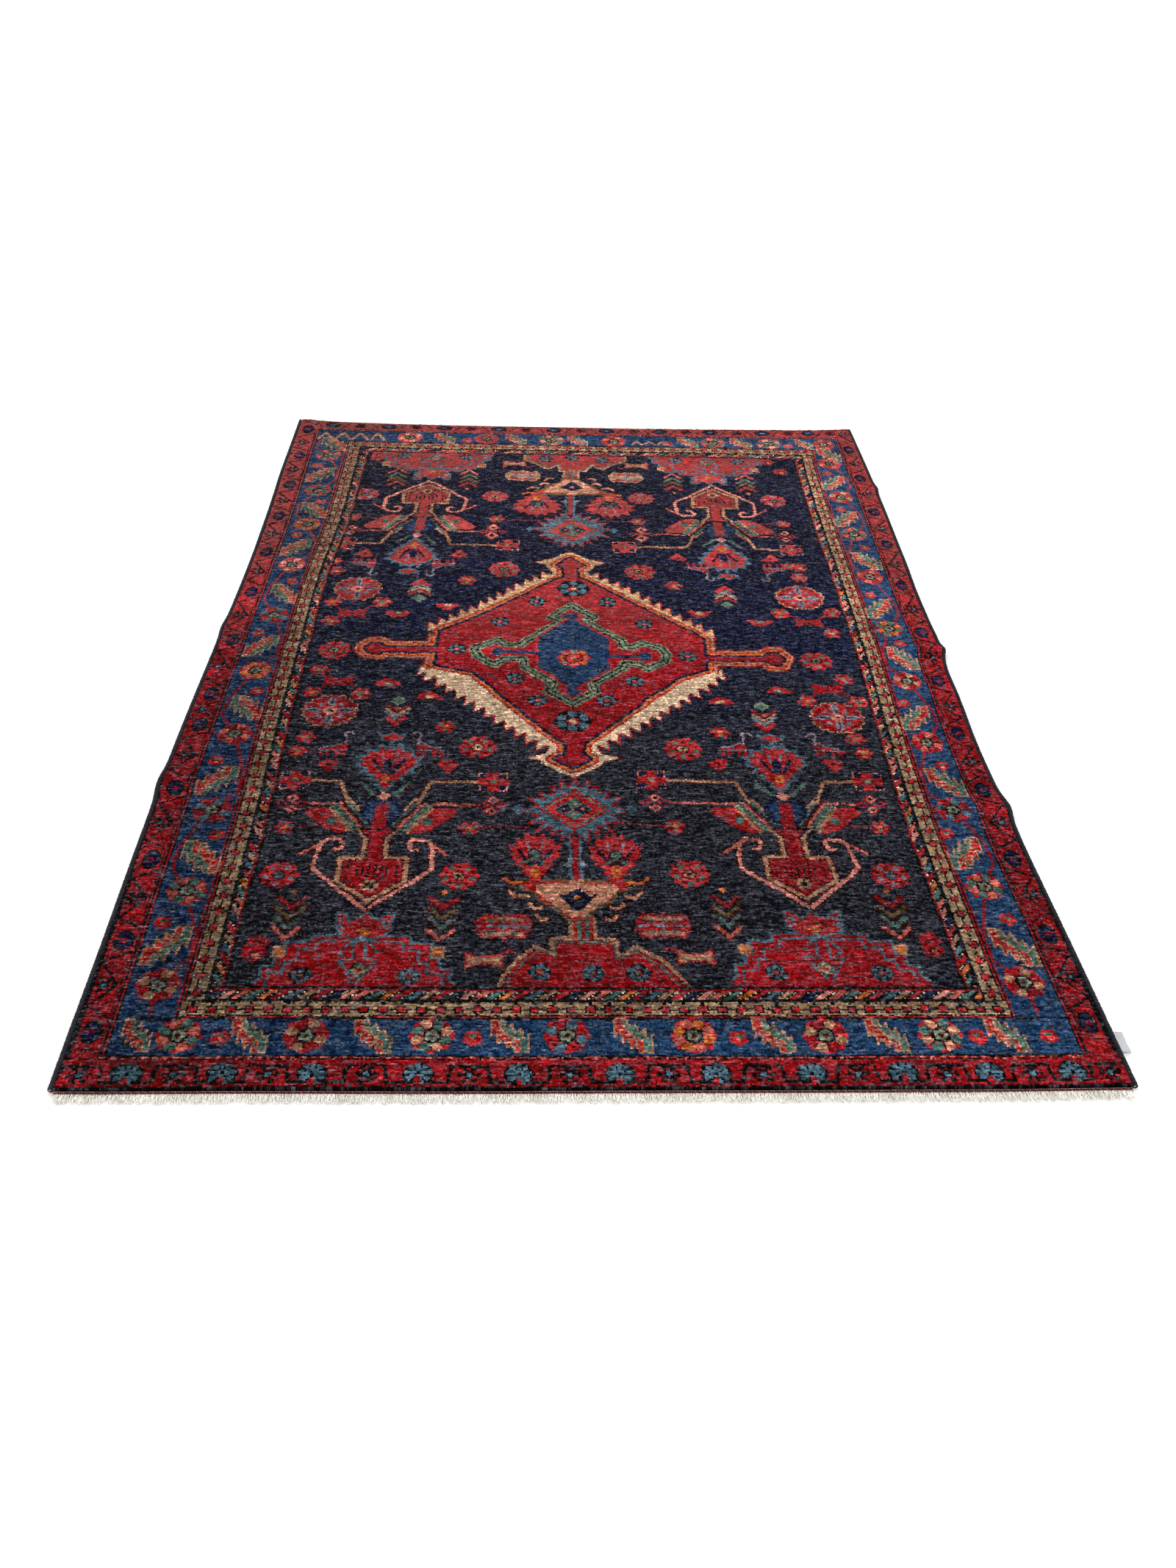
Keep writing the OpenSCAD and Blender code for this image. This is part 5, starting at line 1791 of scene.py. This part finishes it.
sideCord = {"turnPitch": 2.3, "yarnRadius": 1.25, "coreRadius": 1.9, "points": 160}
twist = {"yarnRadius": 0.85, "twistRadius": 0.7, "pitch": 9.0, "step": 1.2, "sides": 6}
floorGap = 0.05
fringe = {"threads": 1500, "frontLength": 15.5, "backLength": 18.5, "threadRadius": 0.72, "splay": 0.3,
          "seed": 5}


def closeUp(obj):
    # outward faces on a mesh that a tree has swept, and nothing below the floor
    work = bmesh.new()
    work.from_mesh(obj.data)
    bmesh.ops.remove_doubles(work, verts=work.verts, dist=1e-7)
    bmesh.ops.recalc_face_normals(work, faces=work.faces)
    for v in work.verts:
        v.co.z = max(v.co.z, floorGap * mm)
    work.to_mesh(obj.data)
    work.free()
    return obj


overcast, yarn, warpEnds = overcastTree(), yarnTree(), fringeTree()
sideLow, sideHigh = nodeBox("selvedge_wrap_right")
sideRadius = (sideHigh[2] - sideLow[2]) / 2
sideX = sideHigh[0] - sideRadius
for label, sign in (("left", -1), ("right", 1)):
    v = np.linspace(-pileY + 1.5, pileY - 1.5, sideCord["points"])
    x, y, z = settle(sign * sideX, v)
    points = np.stack([x, y, z + sideRadius - 0.2], 1)
    wrap = grow(pathObject("overcast_side_" + label, points), overcast, {
        "Turn pitch": sideCord["turnPitch"] * mm, "Cord radius": (sideRadius - sideCord["yarnRadius"]) * mm,
        "Yarn radius": sideCord["yarnRadius"] * mm, "Yarn": darkWool, "Seed": 7 + sign})
    finishPiece(closeUp(wrap), "dark_wool_overcasting", "selvedge_wrap_" + label)
    core = grow(pathObject("warp_cord_" + label, points), yarn, {
        "Yarn radius": sideCord["coreRadius"] * mm, "Twist radius": 0.0, "Twist pitch": 1.0,
        "Start angle": 0.0,
        "Step": 12 * mm, "Sides": 8, "Yarn": cottonCord})
    finishPiece(closeUp(core), "cotton_warp_cord", "selvedge_core_" + label)
for label, sign in (("front", -1), ("back", 1)):
    low, high = nodeBox("twining_" + label)
    u = np.linspace(low[0] + 1, high[0] - 1, 180)
    x, y, z = settle(u, (low[1] + high[1]) / 2)
    points = np.stack([x, y, z + (low[2] + high[2]) / 2 - 0.3], 1)
    for wool, angle, material in (("red", 0.0, redYarn), ("black", math.pi, blackYarn)):
        strand = grow(pathObject("twining_" + label + "_" + wool, points), yarn, {
            "Yarn radius": twist["yarnRadius"] * mm, "Twist radius": twist["twistRadius"] * mm,
            "Twist pitch": twist["pitch"] * mm, "Start angle": angle, "Step": twist["step"] * mm,
            "Sides": twist["sides"], "Yarn": material})
        finishPiece(closeUp(strand), "red_black_wool_twining", "twining_" + label)
    r = np.random.default_rng(60 + sign)
    pitch = 2 * (pileX - 2) / fringe["threads"]
    u = np.linspace(-pileX + 2, pileX - 2, fringe["threads"]) + r.uniform(-pitch, pitch, fringe["threads"])
    x, y, z = settle(u, sign * (endY - 1.2))
    points = np.stack([x, y, z + fringe["threadRadius"] + 0.35 + r.uniform(0, 1.3, len(u))], 1)
    ends = grow(pathObject("fringe_ends_" + label, points), warpEnds, {
        "Thread radius": fringe["threadRadius"] * mm, "Thread length": fringe[label + "Length"] * mm,
        "Outward": sign * math.pi / 2, "Splay": fringe["splay"], "Yarn": cottonYarn, "Seed": fringe["seed"]})
    finishPiece(closeUp(ends), "cotton_warp_ends", "fringe_" + label)
print("edges, twining and fringes made")


def makeLabel():
    # a blank folded tape caught under the right side's overcasting, a little curled
    low, high = nodeBox("sewn_label")
    u, v = np.meshgrid(np.linspace(low[0], high[0], 9), np.linspace(low[1], high[1], 13))
    x, y, z = settle(u, v)
    reach = (u - low[0]) / (high[0] - low[0])
    curl = 0.9 * np.sin(v / 7.0) * reach - 2.4 * reach ** 1.4
    middle = z + (low[2] + high[2]) / 2 + curl
    half = (high[2] - low[2]) / 2 * (1 - 0.25 * reach)
    middle = np.maximum(middle, half + 0.05)
    tape = closedSlab("blank_label", (x, y, middle + half), (x, y, middle - half), labelTape, smooth=40,
                      atlas=False)
    return finishPiece(tape, "woven_label_tape", "sewn_label")


labelPiece = makeLabel()


# ---- floor, light and camera ----


studio = {
    "camera": (-0.0795, -2.0476, 1.3147), "pitch": 38.39, "yaw": -2.6, "roll": 2.147, "lens": 40.24,
    "sky": 1.06, "keyEnergy": 75.0, "keyAt": (-1.0, 3.0, 2.2), "keySize": 2.0,
    "fillEnergy": 16.0, "fillAt": (2.2, -2.0, 2.8), "fillSize": 2.4, "floorReach": 30.0,
}


def makeFloor():
    mesh = bpy.data.meshes.new("studio_floor")
    s = studio["floorReach"]
    mesh.from_pydata([(-s, -s, 0), (s, -s, 0), (s, s, 0), (-s, s, 0)], [], [(0, 1, 2, 3)])
    obj = bpy.data.objects.new("studio_floor", mesh)
    bpy.context.scene.collection.objects.link(obj)
    material, tree, shader, at = newMaterial("paleStudioFloor")
    soft = addNode(tree, "ShaderNodeTexNoise", (-800, 0), {"Vector": at}, in_Scale=2.0, in_Detail=2.0)
    tone = addNode(tree, "ShaderNodeValToRGB", (-560, 0), {"Fac": soft})
    tone.color_ramp.elements[0].color = colourSocket("#fafaf9")
    tone.color_ramp.elements[1].color = colourSocket("#fdfdfc")
    link(tree, tone, shader.inputs["Base Color"])
    setShader(shader, Roughness=0.95, Specular_IOR_Level=0.1)
    mesh.materials.append(material)


def makeStudio():
    makeFloor()
    scene = bpy.context.scene
    scene.view_settings.view_transform = "Standard"
    world = bpy.data.worlds.new("studio")
    world.use_nodes = True
    background = world.node_tree.nodes["Background"]
    background.inputs["Color"].default_value = (1, 1, 1, 1)
    background.inputs["Strength"].default_value = studio["sky"]
    scene.world = world
    for name in ("key", "fill"):
        light = bpy.data.lights.new(name, "AREA")
        light.energy, light.size = studio[name + "Energy"], studio[name + "Size"]
        lamp = bpy.data.objects.new(name, light)
        lamp.location = studio[name + "At"]
        lamp.rotation_euler = (-Vector(studio[name + "At"])).to_track_quat("-Z", "Y").to_euler()
        scene.collection.objects.link(lamp)
    camera = bpy.data.cameras.new("camera")
    camera.sensor_fit, camera.sensor_width, camera.lens = "HORIZONTAL", 36.0, studio["lens"]
    camera.clip_end = 100
    eye = bpy.data.objects.new("camera", camera)
    yaw, pitch, roll = (math.radians(studio[k]) for k in ("yaw", "pitch", "roll"))
    turn = Matrix.Rotation(yaw, 4, "Z") @ Matrix.Rotation(math.pi / 2 - pitch, 4,
                                                          "X") @ Matrix.Rotation(roll, 4, "Z")
    eye.matrix_world = Matrix.Translation(studio["camera"]) @ turn
    scene.collection.objects.link(eye)
    scene.camera = eye


makeStudio()
